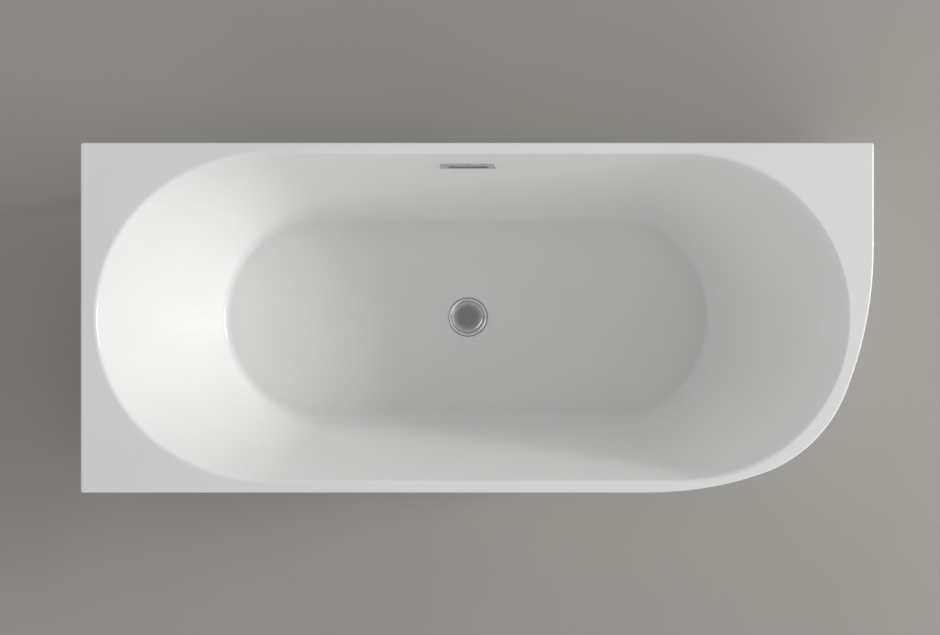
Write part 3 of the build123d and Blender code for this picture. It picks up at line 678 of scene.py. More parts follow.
def loft(name: str, loops: Sequence[Loop], ends: Ends = Ends.JOINED) -> Piece:
    """Extrudes a circle's edges through loops of points.

    Args:
        name: the piece's name.
        loops: loops with the same number of points, in order.
        ends: how the ends are closed.

    Returns:
        The closed piece, with its faces outwards.
    """
    deselect_all()
    bpy.ops.mesh.primitive_circle_add(vertices=len(loops[0]), radius=1.0)
    piece = bpy.context.object
    piece.name = name
    bpy.ops.object.mode_set(mode="EDIT")
    mesh = bmesh.from_edit_mesh(piece.data)
    station = mesh.verts.layers.int.new("station")
    mesh.verts.ensure_lookup_table()
    for index, vertex in enumerate(mesh.verts):
        vertex[station] = index
        vertex.co = loops[0][index]
    bmesh.update_edit_mesh(piece.data)
    for loop in loops[1:]:
        bpy.ops.mesh.extrude_edges_move()
        mesh = bmesh.from_edit_mesh(piece.data)
        station = mesh.verts.layers.int["station"]
        for vertex in mesh.verts:
            if vertex.select:
                vertex.co = loop[vertex[station]]
    bmesh.update_edit_mesh(piece.data)
    bpy.ops.mesh.select_all(action="SELECT")
    bpy.ops.mesh.remove_doubles(threshold=MERGE_DISTANCE)
    if ends is Ends.FILLED:
        bpy.ops.mesh.fill_holes(sides=0)
    bpy.ops.mesh.select_all(action="SELECT")
    bpy.ops.mesh.normals_make_consistent(inside=False)
    bpy.ops.object.mode_set(mode="OBJECT")
    piece.data.attributes.remove(piece.data.attributes["station"])
    return piece


def lathe(name: str, centre: Vector, profile: Profile, count: int) -> Piece:
    """Turns a profile about an upright axis.

    Args:
        name: the piece's name.
        centre: a point on the axis, at height zero.
        profile: radii and heights; it starts and ends on the axis, or at the same place.
        count: how many points round the axis.

    Returns:
        The turned piece.
    """
    return loft(name, [circle(centre + height * UP, radius, count) for radius, height in profile])


def arc(
    centre: tuple[float, float], radius: float, start: float, end: float, steps: int
) -> Profile:
    """Gives the points of an arc in a profile.

    Args:
        centre: the arc's centre as radius and height.
        radius: the arc's radius.
        start: the first point's angle in degrees.
        end: the last point's angle in degrees.
        steps: how many steps between them.

    Returns:
        Radii and heights, both ends among them.
    """
    angles = [math.radians(start + (end - start) * k / steps) for k in range(steps + 1)]
    return [
        (centre[0] + radius * math.cos(a), centre[1] + radius * math.sin(a)) for a in angles
    ]


def arc_chain(
    start: tuple[float, float], bends: Sequence[tuple[float, float, float]], steps: int
) -> Profile:
    """Gives the points of arcs that each begin where the one before them ends.

    Args:
        start: the first point as radius and height.
        bends: each arc's radius, and its first and last angle in degrees.
        steps: how many steps each arc takes.

    Returns:
        Radii and heights from start on.
    """
    points = [start]
    for radius, first, last in bends:
        turn = math.radians(first)
        centre = (
            points[-1][0] - radius * math.cos(turn), points[-1][1] - radius * math.sin(turn)
        )
        points += arc(centre, radius, first, last, steps)[1:]
    return points


def along(start: tuple[float, float], end: tuple[float, float], count: int) -> Loop:
    """Gives evenly spaced points at height zero from start, the end left out."""
    first, last = Vector((*start, 0)), Vector((*end, 0))
    return [first.lerp(last, k / count) for k in range(count)]


def around(centre: Vector, radius: float, start: float, end: float, count: int) -> Loop:
    """Gives evenly spaced points on an arc, the last angle left out.

    Args:
        centre: the arc's centre.
        radius: its radius.
        start: the first angle in degrees.
        end: the last angle in degrees.
        count: how many points.

    Returns:
        The points.
    """
    angles = [math.radians(start + (end - start) * k / count) for k in range(count)]
    return [centre + radius * level(angle) for angle in angles]


def rounded_bar(width: float, height: float, corner: float, count: int) -> Loop:
    """Gives a rectangle with rounded corners about the origin, clockwise.

    Args:
        width: its size along X.
        height: its size along Y.
        corner: the radius of its corners.
        count: how many points each corner takes.

    Returns:
        The points.
    """
    x, y = width / 2 - corner, height / 2 - corner
    points: Loop = []
    for place, start in (((x, y), 90), ((x, -y), 0), ((-x, -y), -90), ((-x, y), -180)):
        centre = Vector((*place, 0))
        points += around(centre, corner, start, start - 90, count - 1)
        points.append(centre + corner * level(math.radians(start - 90)))
    return points


@dataclass(frozen=True)
class Station:
    """One place round the basin: its points at deck and floor height, and its way outwards."""

    top: Vector
    low: Vector
    out: Vector


@dataclass
class BathForm:
    """The sizes of the rim, the rounded corner and the basin that several pieces follow."""

    # The rim's widths, the floor's height, and how far each slope runs in on its way down
    rim_left: float = 0.034
    rim_right: float = 0.056
    rim_back: float = 0.022
    rim_front: float = 0.025
    floor_z: float = 0.150
    left_run: float = 0.226
    right_run: float = 0.248
    side_run: float = 0.110
    # The ends of the opening and of the floor, as shares of their widths, and how far an end's
    # side arcs turn
    left_end_share: float = 0.552
    right_end_share: float = 0.519
    floor_left_share: float = 0.49
    floor_right_share: float = 0.40
    side_turn: float = 30.0
    # The roundings from deck to slope and from slope to floor, and the wall of the shell
    rim_round: float = 0.012
    floor_round: float = 0.024
    shell: float = 0.0055
    # The rounded corner's three arcs: radii as shares of the bath's width, and the angles between
    # which they turn
    corner_shares: tuple[float, float, float] = (1.12, 0.39867, 0.97867)
    corner_turns: tuple[float, float, float, float] = (0.0, -22.0, -71.0, -90.0)
    # The square corners, and their least radius on a loop that is drawn in
    corner_round: float = 0.005
    corner_least: float = 0.0005
    waste_x: float = -0.020
    # The points of a loop: on each straight side, on each end, and on the stretches of the rim
    # beside each end, which add up to the end's own
    straight_count: int = 24
    end_count: int = 72
    right_counts: tuple[int, ...] = (22, 6, 5, 12, 20, 7)
    left_counts: tuple[int, ...] = (22, 6, 16, 6, 22)
    rim_steps: int = 10
    slope_steps: int = 6
    floor_steps: int = 12
    # The narrow strip that keeps the shading flat beside a rounding
    support: float = 0.0015

    def __post_init__(self) -> None:
        """Works out the sides of the opening and of the floor."""
        low, high = (Vector(corner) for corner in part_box("tub_shell"))
        self.length = high.x - low.x
        self.width = high.y - low.y
        self.height = high.z
        self.depth = self.height - self.floor_z
        self.left = self.rim_left - self.length / 2
        self.right = self.length / 2 - self.rim_right
        self.back = self.width / 2 - self.rim_back
        self.front = self.rim_front - self.width / 2
        self.middle = (self.back + self.front) / 2
        opening = self.back - self.front
        floor = opening - 2 * self.side_run
        self.left_end = self.left_end_share * opening
        self.right_end = self.right_end_share * opening
        tops = self.oval(
            self.left, self.right, self.back, self.front, self.left_end, self.right_end
        )
        lows = self.oval(
            self.left + self.left_run, self.right - self.right_run, self.back - self.side_run,
            self.front + self.side_run, self.floor_left_share * floor,
            self.floor_right_share * floor,
        )
        self.stations = [
            Station(top + self.height * UP, low + self.floor_z * UP, out)
            for (top, out), (low, _) in zip(tops, lows)
        ]
        self.drain = Vector((self.waste_x, self.middle, 0))

    def oval(
        self,
        left: float,
        right: float,
        back: float,
        front: float,
        left_end: float,
        right_end: float,
    ) -> list[tuple[Vector, Vector]]:
        """Gives points and outward ways clockwise round an oval, from the start of its back.

        Args:
            left: the left tip.
            right: the right tip.
            back: the back side.
            front: the front side.
            left_end: the length of the left end.
            right_end: the length of the right end.

        Returns:
            A point and its way outwards for each station.
        """
        start, end, count = left + left_end, right - right_end, self.straight_count
        back_run = along((start, back), (end, back), count)
        front_run = along((end, front), (start, front), count)
        return [
            *((point, Vector((0, 1, 0))) for point in back_run),
            *self.oval_end(right, right_end, 1, back, front),
            *((point, Vector((0, -1, 0))) for point in front_run),
            *self.oval_end(left, left_end, -1, back, front),
        ]

    def oval_end(
        self, tip: float, length: float, way: int, back: float, front: float
    ) -> list[tuple[Vector, Vector]]:
        """Gives the stations of one end: a side arc, the tip arc and the other side arc.

        Args:
            tip: where the tip is along X.
            length: how long the end is.
            way: 1 for the right end and -1 for the left.
            back: the oval's back side.
            front: the oval's front side.

        Returns:
            A point and its way outwards for each station.
        """
        middle, half = (back + front) / 2, (back - front) / 2
        turn = math.radians(self.side_turn)
        s, c = math.sin(turn), math.cos(turn)
        side = (length * c - half * (1 - s)) / (s * c - (1 - s) * (1 - c))
        tip_radius = (half - side + side * c) / c
        tip_centre = Vector((tip - way * tip_radius, middle, 0))
        first_centre = Vector((tip - way * length, middle + way * (half - side), 0))
        last_centre = Vector((tip - way * length, middle - way * (half - side), 0))
        found = []
        for k in range(self.end_count):
            turned = 180.0 * k / self.end_count
            out = level(math.radians(way * 90.0 - turned))
            if turned < self.side_turn:
                centre, radius = first_centre, side
            elif turned < 180.0 - self.side_turn:
                centre, radius = tip_centre, tip_radius
            else:
                centre, radius = last_centre, side
            found.append((centre + radius * out, out))
        return found

    def corner_arcs(self) -> list[tuple[Vector, float, float, float]]:
        """Gives the rounded corner's arcs, from the right side to the front.

        Returns:
            Each arc's centre and radius, and its first and last angle in degrees.
        """
        radii = [share * self.width for share in self.corner_shares]
        ways = [level(math.radians(turn)) for turn in self.corner_turns]
        steps = [ways[k + 1] * (radii[k] - radii[k + 1]) for k in range(2)]
        centre = Vector((
            self.length / 2 - radii[0],
            radii[2] - self.width / 2 - (steps[0] + steps[1]).y,
            0,
        ))
        centres = [centre, centre + steps[0], centre + steps[0] + steps[1]]
        turns = self.corner_turns
        return [(centres[k], radii[k], turns[k], turns[k + 1]) for k in range(3)]

    def rim_loop(self, inset: float, z: float) -> Loop:
        """Gives a loop round the bath's outside, drawn in by inset, with a point for each station.

        Args:
            inset: how far the loop is drawn in.
            z: the loop's height.

        Returns:
            The loop.
        """
        left, right = inset - self.length / 2, self.length / 2 - inset
        back, front = self.width / 2 - inset, inset - self.width / 2
        bend = max(self.corner_round - inset, self.corner_least)
        start_x, end_x = self.left + self.left_end, self.right - self.right_end
        arcs = self.corner_arcs()
        run, turn, side, *arc_counts = self.right_counts
        points = along((start_x, back), (end_x, back), self.straight_count)
        points += along((end_x, back), (right - bend, back), run)
        points += around(Vector((right - bend, back - bend, 0)), bend, 90, 0, turn)
        points += along((right, back - bend), (right, arcs[0][0].y), side)
        for (centre, radius, start, end), count in zip(arcs, arc_counts):
            points += around(centre, radius - inset, start, end, count)
        points += along((arcs[-1][0].x, front), (start_x, front), self.straight_count)
        run, turn, side, last_turn, last_run = self.left_counts
        points += along((start_x, front), (left + bend, front), run)
        points += around(Vector((left + bend, front + bend, 0)), bend, -90, -180, turn)
        points += along((left, front + bend), (left, back - bend), side)
        points += around(Vector((left + bend, back - bend, 0)), bend, 180, 90, last_turn)
        points += along((left + bend, back), (start_x, back), last_run)
        return [point + z * UP for point in points]

    def slope(self, station: Station) -> tuple[float, Vector]:
        """Gives a station's lean from upright, in radians, and its face's way into the basin."""
        lean = math.atan((station.top - station.low).dot(station.out) / self.depth)
        return lean, UP * math.sin(lean) - station.out * math.cos(lean)

    def on_ruling(self, station: Station, z: float) -> Vector:
        """Gives the point of a station's straight line down the slope at one height."""
        return station.low.lerp(station.top, (z - self.floor_z) / self.depth)

    def rim_contact(self, station: Station) -> float:
        """Gives the height where a station's rim round meets its slope."""
        return self.height - self.rim_round * (1 - math.sin(self.slope(station)[0]))

    def floor_contact(self, station: Station) -> float:
        """Gives the height where a station's floor round meets its slope."""
        return self.floor_z + self.floor_round * (1 - math.sin(self.slope(station)[0]))

    def rim_point(self, station: Station, share: float, behind: float) -> Vector:
        """Gives a point on the rounding from deck to slope.

        Args:
            station: where round the basin.
            share: 0 at the deck and 1 at the slope.
            behind: how far behind the basin's face.

        Returns:
            The point.
        """
        lean, inwards = self.slope(station)
        centre = self.on_ruling(station, self.rim_contact(station)) - self.rim_round * inwards
        angle = share * (math.pi / 2 - lean)
        way = math.cos(angle) * UP - math.sin(angle) * station.out
        return centre + (self.rim_round - behind) * way

    def floor_point(self, station: Station, share: float, behind: float) -> Vector:
        """Gives a point on the rounding from slope to floor.

        Args:
            station: where round the basin.
            share: 0 at the slope and 1 at the floor.
            behind: how far behind the basin's face.

        Returns:
            The point.
        """
        lean, inwards = self.slope(station)
        centre = self.on_ruling(station, self.floor_contact(station)) + self.floor_round * inwards
        angle = (1 - share) * (math.pi / 2 - lean)
        way = math.sin(angle) * station.out - math.cos(angle) * UP
        return centre + (self.floor_round + behind) * way

    def slope_point(self, station: Station, z: float, behind: float) -> Vector:
        """Gives the point behind a station's slope where its face is at one height."""
        return self.on_ruling(station, z) - behind * self.slope(station)[1]

    def slope_loops(self, behind: float, top_z: float | None = None) -> list[Loop]:
        """Gives loops down the slope between its two roundings.

        Args:
            behind: how far behind the basin's face.
            top_z: the height of the first loop behind the face, or none for the rim round.

        Returns:
            The loops from the top down.
        """
        loops = []
        for k in range(self.slope_steps + 1):
            loop = []
            for station in self.stations:
                lean = self.slope(station)[0]
                low = self.floor_contact(station) + self.support
                high = self.rim_contact(station) - self.support
                if top_z is not None:
                    high = top_z + behind * math.sin(lean)
                z = high + (low - high) * k / self.slope_steps
                loop.append(self.slope_point(station, z, behind))
            loops.append(loop)
        return loops

    def basin_loops(self, behind: float) -> list[Loop]:
        """Gives loops from the deck's edge down to the floor.

        Args:
            behind: how far behind the basin's face.

        Returns:
            The loops from the top down.
        """
        deck = [
            self.rim_point(station, 0, behind) + self.support * station.out
            for station in self.stations
        ]
        rim = [
            [self.rim_point(station, k / self.rim_steps, behind) for station in self.stations]
            for k in range(self.rim_steps + 1)
        ]
        return [deck, *rim, *self.slope_loops(behind), *self.floor_loops(behind)]

    def floor_loops(self, behind: float) -> list[Loop]:
        """Gives loops round the foot of the slopes and just onto the floor.

        Args:
            behind: how far behind the basin's face.

        Returns:
            The loops from the slopes inwards.
        """
        loops = [
            [self.floor_point(station, k / self.floor_steps, behind) for station in self.stations]
            for k in range(self.floor_steps + 1)
        ]
        loops.append([
            point - self.support * station.out for point, station in zip(loops[-1], self.stations)
        ])
        return loops

    def drain_loop(self, radius: float, z: float) -> Loop:
        """Gives a circle round the drain with a point for each station of the basin.

        Args:
            radius: the circle's radius.
            z: its height.

        Returns:
            The circle.
        """
        points = []
        for station in self.stations:
            way = station.low - self.drain
            way.z = 0
            points.append(self.drain + radius * way.normalized() + z * UP)
        return points

    def slope_matrix(self, z: float) -> Matrix:
        """Gives the place on the back slope above the drain at one height, as a matrix.

        Args:
            z: the height of the place.

        Returns:
            A matrix whose X runs along the bath, whose Y runs up the slope and whose Z leaves
            the face.
        """
        rise = Vector((0, self.side_run, self.depth)).normalized()
        y = self.back - (self.height - z) * self.side_run / self.depth
        columns = (Vector((1, 0, 0)), rise, Vector((0, -rise.z, rise.y)))
        turned = Matrix(columns).transposed().to_4x4()
        return Matrix.Translation((self.waste_x, y, z)) @ turned


@dataclass
class Tub:
    """The acrylic tub: lip, deck, basin, drain dish and the overflow's slot."""

    form: BathForm
    lip_drop: float = 0.022
    lip_break: float = 0.0006
    edge_round: float = 0.004
    edge_steps: int = 6
    hole_radius: float = 0.031
    hole_break: float = 0.0006
    dish_outer: float = 0.060
    dish_inner: float = 0.0461
    dish_depth: float = 0.001
    dish_steps: int = 8
    recess_radius: float = 0.0457
    recess_depth: float = 0.002
    recess_break: float = 0.0002
    overflow_z: float = 0.500
    slot_width: float = 0.112
    slot_height: float = 0.011
    slot_reach: float = 0.020
    slot_end_gap: float = 0.0001
    slot_points: int = 12
    sharp_degrees: float = 30.0

    def lip_loops(self) -> list[Loop]:
        """Gives loops up the outside of the lip and over its rounded edge onto the deck.

        Returns:
            The loops from the lip's foot on.
        """
        form = self.form
        low_z = form.height - self.lip_drop
        loops = [
            form.rim_loop(form.shell - self.lip_break, low_z),
            form.rim_loop(self.lip_break, low_z),
            form.rim_loop(0, low_z + self.lip_break),
        ]
        for k in range(self.edge_steps + 1):
            angle = math.pi / 2 * k / self.edge_steps
            inset = self.edge_round * (1 - math.cos(angle))
            z = form.height - self.edge_round * (1 - math.sin(angle))
            loops.append(form.rim_loop(inset, z))
        loops.append(form.rim_loop(self.edge_round + form.support, form.height))
        return loops

    def dish_loops(self) -> list[Loop]:
        """Gives loops from the floor down the dish, into the ring's recess and through the hole.

        Returns:
            The loops from the dish's edge to the basin's underside.
        """
        form = self.form
        section = [(self.dish_outer + form.support, form.floor_z)]
        for k in range(self.dish_steps + 1):
            share = k / self.dish_steps
            eased = share * share * (3 - 2 * share)
            radius = self.dish_outer + (self.dish_inner - self.dish_outer) * share
            section.append((radius, form.floor_z - self.dish_depth * eased))
        wall, seat_z = self.recess_radius, form.floor_z - self.recess_depth
        under_z = form.floor_z - form.shell
        section += [
            (wall, form.floor_z - self.dish_depth - self.recess_break),
            (wall, seat_z + self.recess_break),
            (wall - self.recess_break, seat_z),
            (self.hole_radius + self.hole_break, seat_z),
            (self.hole_radius, seat_z - self.hole_break),
            (self.hole_radius, under_z),
            (self.dish_outer, under_z),
        ]
        return [form.drain_loop(radius, z) for radius, z in section]

    def slot_cutter(self) -> Piece:
        """Makes the round-ended bar that cuts the overflow's slot through the back slope.

        Returns:
            The bar.
        """
        corner = self.slot_height / 2 - self.slot_end_gap
        points = rounded_bar(self.slot_width, self.slot_height, corner, self.slot_points)
        place = self.form.slope_matrix(self.overflow_z)
        loops = [
            [place @ (point + depth * UP) for point in points]
            for depth in (-self.slot_reach, self.slot_reach)
        ]
        return loft("slot_cutter", loops, Ends.FILLED)

    def build(self) -> Piece:
        """Models the tub, cuts its overflow slot and dresses it.

        Returns:
            The tub.
        """
        form = self.form
        deck_under = form.height - form.shell
        under = form.basin_loops(form.shell)
        under.reverse()
        loops = [*self.lip_loops(), *form.basin_loops(0), *self.dish_loops(), *under]
        loops.append(form.rim_loop(form.shell, deck_under))
        loops.append(form.rim_loop(form.shell, form.height - self.lip_drop + self.lip_break))
        loops.append([point.copy() for point in loops[0]])
        tub = loft("bath_tub", loops)
        cut(tub, self.slot_cutter())
        smooth(tub, self.sharp_degrees)
        return put(tub, Slot.ACRYLIC, "bath", "tub_shell")


@dataclass
class Backing:
    """The fibreglass sprayed on the back of the basin, rough on its outer side."""

    form: BathForm
    gap: float = 0.0003
    wall: float = 0.0035
    top_z: float = 0.554
    hole_radius: float = 0.0325
    lump: float = 0.022
    lump_height: float = 0.0012
    slot_margin: float = 0.003
    sharp_degrees: float = 40.0

    def build(self, tub: Tub) -> Piece:
        """Models the backing, roughens its outer side and opens its overflow slot.

        Args:
            tub: the tub whose slot it matches.

        Returns:
            The backing.
        """
        form = self.form
        near = form.shell + self.gap
        far = near + self.wall
        inner = [*form.slope_loops(near, self.top_z), *form.floor_loops(near)]
        outer = [*form.slope_loops(far, self.top_z), *form.floor_loops(far)]
        outer.reverse()
        holes = [form.drain_loop(self.hole_radius, form.floor_z - depth) for depth in (near, far)]
        backing = loft("basin_backing", [*inner, *holes, *outer, list(inner[0])])
        self.roughen(backing, far)
        wider = Tub(
            form, slot_width=tub.slot_width + self.slot_margin,
            slot_height=tub.slot_height + self.slot_margin,
        )
        cut(backing, wider.slot_cutter())
        smooth(backing, self.sharp_degrees)
        return put(backing, Slot.FIBREGLASS, "bath", "fibreglass_backing")

    def roughen(self, backing: Piece, far: float) -> None:
        """Presses the outer side in by clouds, as resin that was rolled by hand.

        Args:
            backing: the smooth backing.
            far: how far its outer side is behind the basin's face.
        """
        apply_modifier(
            backing, "SUBSURF", subdivision_type="SIMPLE", levels=1, render_levels=1
        )
        group = backing.vertex_groups.new(name="outside")
        centre = self.form.drain + self.form.height * UP
        outside = [
            vertex.index
            for vertex in backing.data.vertices
            if vertex.normal.dot(vertex.co - centre) > 0
            and vertex.normal.z < 0
            and vertex.co.z < self.top_z - far
        ]
        group.add(outside, 1.0, "REPLACE")
        clouds = bpy.data.textures.new("resin_lumps", "CLOUDS")
        clouds.noise_scale = self.lump
        clouds.noise_depth = 2
        apply_modifier(
            backing, "DISPLACE", texture=clouds, texture_coords="LOCAL", mid_level=1.0,
            strength=self.lump_height, vertex_group=group.name,
        )


@dataclass
class Panel:
    """The outer panel round the front and the rounded end, leaning in towards its foot."""

    form: BathForm
    inset: float = 0.006
    lean: float = 0.030
    wall: float = 0.005
    foot_z: float = 0.005
    foot_return: float = 0.008
    side_gap: float = 0.006
    edge_round: float = 0.0012
    edge_steps: int = 3
    front_count: int = 30
    arc_counts: tuple[int, int, int] = (12, 30, 24)
    end_count: int = 8
    rows: int = 10
    top_gap: float = 0.0003
    sharp_degrees: float = 30.0

    def path(self, inset: float, z: float) -> Loop:
        """Gives points along the panel from its left end to its back end.

        Args:
            inset: how far the points are drawn in.
            z: their height.

        Returns:
            The points.
        """
        form = self.form
        front = inset - form.width / 2
        right = form.length / 2 - inset
        left_end = self.side_gap - form.length / 2
        back_end = form.width / 2 - self.side_gap
        arcs = list(reversed(form.corner_arcs()))
        points = along((left_end, front), (arcs[0][0].x, front), self.front_count)
        for (centre, radius, start, end), count in zip(arcs, self.arc_counts):
            points += around(centre, radius - inset, end, start, count)
        points += along((right, arcs[-1][0].y), (right, back_end), self.end_count)
        points.append(Vector((right, back_end, 0)))
        return [point + z * UP for point in points]

    def profile(self) -> Profile:
        """Gives the panel's section, outer side first.

        Returns:
            Insets and heights.
        """
        top_z = self.form.height - self.form.shell - self.top_gap
        low_z = self.foot_z

        def lean_at(z: float) -> float:
            """Gives how far the outer side is drawn in at one height."""
            return self.inset + self.lean * (top_z - z) / (top_z - low_z)

        r = self.edge_round
        fall = low_z - top_z + 2 * r
        heights = [top_z - r + fall * k / self.rows for k in range(self.rows + 1)]
        outer = [(lean_at(z), z) for z in heights]
        low = lean_at(low_z)
        foot = arc((low + r, low_z + r), r, 180, 270, self.edge_steps)
        deep = low + self.wall + self.foot_return
        toe = arc((deep - r, low_z + r), r, 270, 360, self.edge_steps)
        toe += arc((deep - r, low_z + self.wall - r), r, 0, 90, self.edge_steps)
        inside = [
            (lean_at(low_z + self.wall) + self.wall, low_z + self.wall),
            (lean_at(top_z - r) + self.wall, top_z - r),
        ]
        crest = arc((self.inset + self.wall - r, top_z - r), r, 0, 90, self.edge_steps)
        crest += arc((self.inset + r, top_z - r), r, 90, 180, self.edge_steps)[:-1]
        return [*outer, *foot[1:], *toe, *inside, *crest[1:]]

    def build(self) -> Piece:
        """Models the panel by carrying its section along the front, corner and right end.

        Returns:
            The panel.
        """
        sections = [self.path(inset, z) for inset, z in self.profile()]
        loops = [[section[k] for section in sections] for k in range(len(sections[0]))]
        panel = loft("bath_panel", loops, Ends.FILLED)
        smooth(panel, self.sharp_degrees)
        return put(panel, Slot.ACRYLIC, "bath", "outer_panel")


@dataclass
class Drain:
    """The drain ring with its tail and spider, its gasket, and the plug's cap above it."""

    form: BathForm
    seat_z: float = 0.149
    lip_start: float = 0.0015
    # Each bend of the lip from the well outwards: its radius, its first and its last angle
    lip_bends: tuple[tuple[float, float, float], ...] = (
        (0.0003, 180, 120), (0.0125, 120, 108), (0.00025, 108, 70), (0.011, 70, 52),
        (0.0009, 52, 0),
    )
    lip_steps: int = 6
    well_radius: float = 0.0382
    well_rise: float = 0.0009
    well_break: float = 0.0003
    seat_radius: float = 0.0315
    seat_round: float = 0.0012
    seat_turn: float = 60.0
    outer_break: float = 0.0002
    tail_outer: float = 0.0300
    tail_inner: float = 0.0255
    tail_length: float = 0.030
    tail_break: float = 0.0005
    throat_drop: float = 0.0021
    boss_radius: float = 0.008
    boss_bore: float = 0.00498
    boss_break: float = 0.0004
    boss_count: int = 48
    spider_height: float = 0.005
    arm_width: float = 0.004
    arm_break: float = 0.0008
    arm_in_boss: float = 0.0006
    arm_in_tail: float = 0.001
    arm_count: int = 3
    cap_radius: float = 0.0376
    cap_low: float = 0.151
    # The crown's tilt in degrees, by the distance from the cap's axis
    cap_tilts: tuple[tuple[float, float], ...] = (
        (0.012, 0.0), (0.017, 4.0), (0.021, 8.0), (0.026, 13.0), (0.030, 18.0), (0.033, 24.0),
        (0.0345, 30.0), (0.0372, 41.0),
    )
    cap_edge: float = 0.0005
    cap_break: float = 0.0003
    # How far the cap rests off the middle of its seat, along X and Y
    cap_rest: tuple[float, float] = (-0.00028, 0.00032)
    cap_steps: int = 34
    # The gasket's outer radius and its crest reach past the ring's edge, so its black rubber shows
    # as a thin dark line round the ring: painted contact shadow
    gasket_radii: tuple[float, float] = (0.0316, 0.0454)
    gasket_low: float = 0.14805
    gasket_high: float = 0.1489
    shadow_line_crest: float = 0.1494
    gasket_round: float = 0.0004
    gasket_gap: float = 0.0001
    round_steps: int = 4
    count: int = 96
    sharp_degrees: float = 40.0
    # A lighter copy of the cap's chrome, so the ring looks brighter than the cap does: a painted
    # highlight for the light that the ring mirrors
    painted_bright_chrome: PlatedMetal = PlatedMetal(
        "brass_chrome_painted_bright", tints=((0.35, "#E6E6E6"), (0.7, "#DEDEDE"))
    )

    @property
    def lip(self) -> Profile:
        """The section of the ring's lip, whose last point is the ring's outer edge."""
        start = (self.well_radius, self.seat_z + self.lip_start)
        return arc_chain(start, self.lip_bends, self.lip_steps)

    def ring_profile(self) -> Profile:
        """Gives the ring's section from its tail up over the polished lip.

        Returns:
            Radii and heights.
        """
        base, tail_break = self.seat_z, self.tail_break
        tail_z = base - self.tail_length
        well_z = base + self.well_rise
        seat = (self.seat_radius, well_z - self.seat_round)
        lip = self.lip
        outer = lip[-1][0]
        return [
            (self.tail_inner + tail_break, tail_z),
            (self.tail_inner, tail_z + tail_break),
            (self.tail_inner, base - self.throat_drop),
            *arc(seat, self.seat_round, 90 + self.seat_turn, 90, self.round_steps),
            (self.well_radius - self.well_break, well_z),
            (self.well_radius, well_z + self.well_break),
            *lip,
            (outer, base + self.outer_break),
            (outer - self.outer_break, base),
            (self.tail_outer, base),
            (self.tail_outer, tail_z + tail_break),
            (self.tail_outer - tail_break, tail_z),
            (self.tail_inner + tail_break, tail_z),
        ]

    def spider(self) -> list[Piece]:
        """Makes the boss in the drain's throat and the arms that carry it.

        Returns:
            The boss and the arms.
        """
        low = self.seat_z - self.tail_length
        high = low + self.spider_height
        bore, radius, edge = self.boss_bore, self.boss_radius, self.boss_break
        boss = lathe(
            "spider_boss", self.form.drain,
            [
                (bore, low + edge), (bore + edge, low), (radius - edge, low), (radius, low + edge),
                (radius, high - edge), (radius - edge, high), (bore + edge, high),
                (bore, high - edge), (bore, low + edge),
            ],
            self.boss_count,
        )
        arms = [boss]
        inner, outer = radius - self.arm_in_boss, self.tail_inner + self.arm_in_tail
        for k in range(self.arm_count):
            deselect_all()
            bpy.ops.mesh.primitive_cube_add(size=1.0)
            arm = bpy.context.object
            arm.name = f"spider_arm_{k + 1}"
            bpy.ops.object.mode_set(mode="EDIT")
            bpy.ops.transform.resize(value=(outer - inner, self.arm_width, self.spider_height))
            bpy.ops.mesh.bevel(offset=self.arm_break, segments=3, affect="EDGES")
            bpy.ops.transform.translate(value=((inner + outer) / 2, 0, (low + high) / 2))
            bpy.ops.object.mode_set(mode="OBJECT")
            turn = Matrix.Rotation(FULL_TURN * k / self.arm_count, 4, "Z")
            arm.data.transform(Matrix.Translation(self.form.drain) @ turn)
            arms.append(arm)
        return arms

    def build_ring(self) -> Piece:
        """Turns the ring, joins its spider to it and dresses it.

        Returns:
            The ring.
        """
        ring = lathe("drain_ring", self.form.drain, self.ring_profile(), self.count)
        join(ring, self.spider())
        smooth(ring, self.sharp_degrees)
        # The ring takes the lighter copy of the chrome: painted highlight
        return put(ring, Slot.CHROME, "bath", "waste_flange", finish=self.painted_bright_chrome)

    def build_gasket_and_shadow_line(self) -> Piece:
        """Turns the black gasket under the ring, widened past the ring's edge so that a thin black
        line of it shows round the ring: painted contact shadow.

        Returns:
            The gasket.
        """
        inner, outer = self.gasket_radii
        low, high, r = self.gasket_low, self.gasket_high, self.gasket_round
        edge = self.lip[-1][0] + self.gasket_gap
        gasket = lathe(
            "drain_gasket_shadow_line", self.form.drain,
            [
                (inner, low), (outer, low),
                *arc((outer - r, self.shadow_line_crest - r), r, 0, 90, self.round_steps),
                (edge, self.shadow_line_crest), (edge, high), (inner, high), (inner, low),
            ],
            self.count,
        )
        smooth(gasket, self.sharp_degrees)
        return put(gasket, Slot.RUBBER, "bath", "waste_top_gasket")

    def cap_tilt(self, radius: float) -> float:
        """Gives the tilt of the cap's crown at one radius.

        Args:
            radius: the distance from the cap's axis.

        Returns:
            The tilt in degrees.
        """
        tilt = 0.0
        for (start, low), (end, high) in zip(self.cap_tilts, self.cap_tilts[1:]):
            if radius > start:
                tilt = low + (high - low) * min(1.0, (radius - start) / (end - start))
        return tilt

    def cap_profile(self) -> Profile:
        """Gives the cap's section: flat in its middle, then ever steeper to a rounded edge.

        Returns:
            Radii and heights.
        """
        last_tilt = self.cap_tilts[-1][1]
        reach = self.cap_radius - self.cap_edge * (1 - math.sin(math.radians(last_tilt)))
        step = reach / self.cap_steps
        crown = [(0.0, 0.0)]
        for k in range(self.cap_steps):
            drop = step * math.tan(math.radians(self.cap_tilt((k + 0.5) * step)))
            crown.append((crown[-1][0] + step, crown[-1][1] - drop))
        bends = [(self.cap_edge, 90 - last_tilt, 0)]
        edge = arc_chain(crown[-1], bends, self.lip_steps)[1:]
        lift = self.cap_low + self.cap_break - edge[-1][1]
        section = [(radius, height + lift) for radius, height in (*crown, *edge)]
        return [*section, (self.cap_radius - self.cap_break, self.cap_low), (0.0, self.cap_low)]

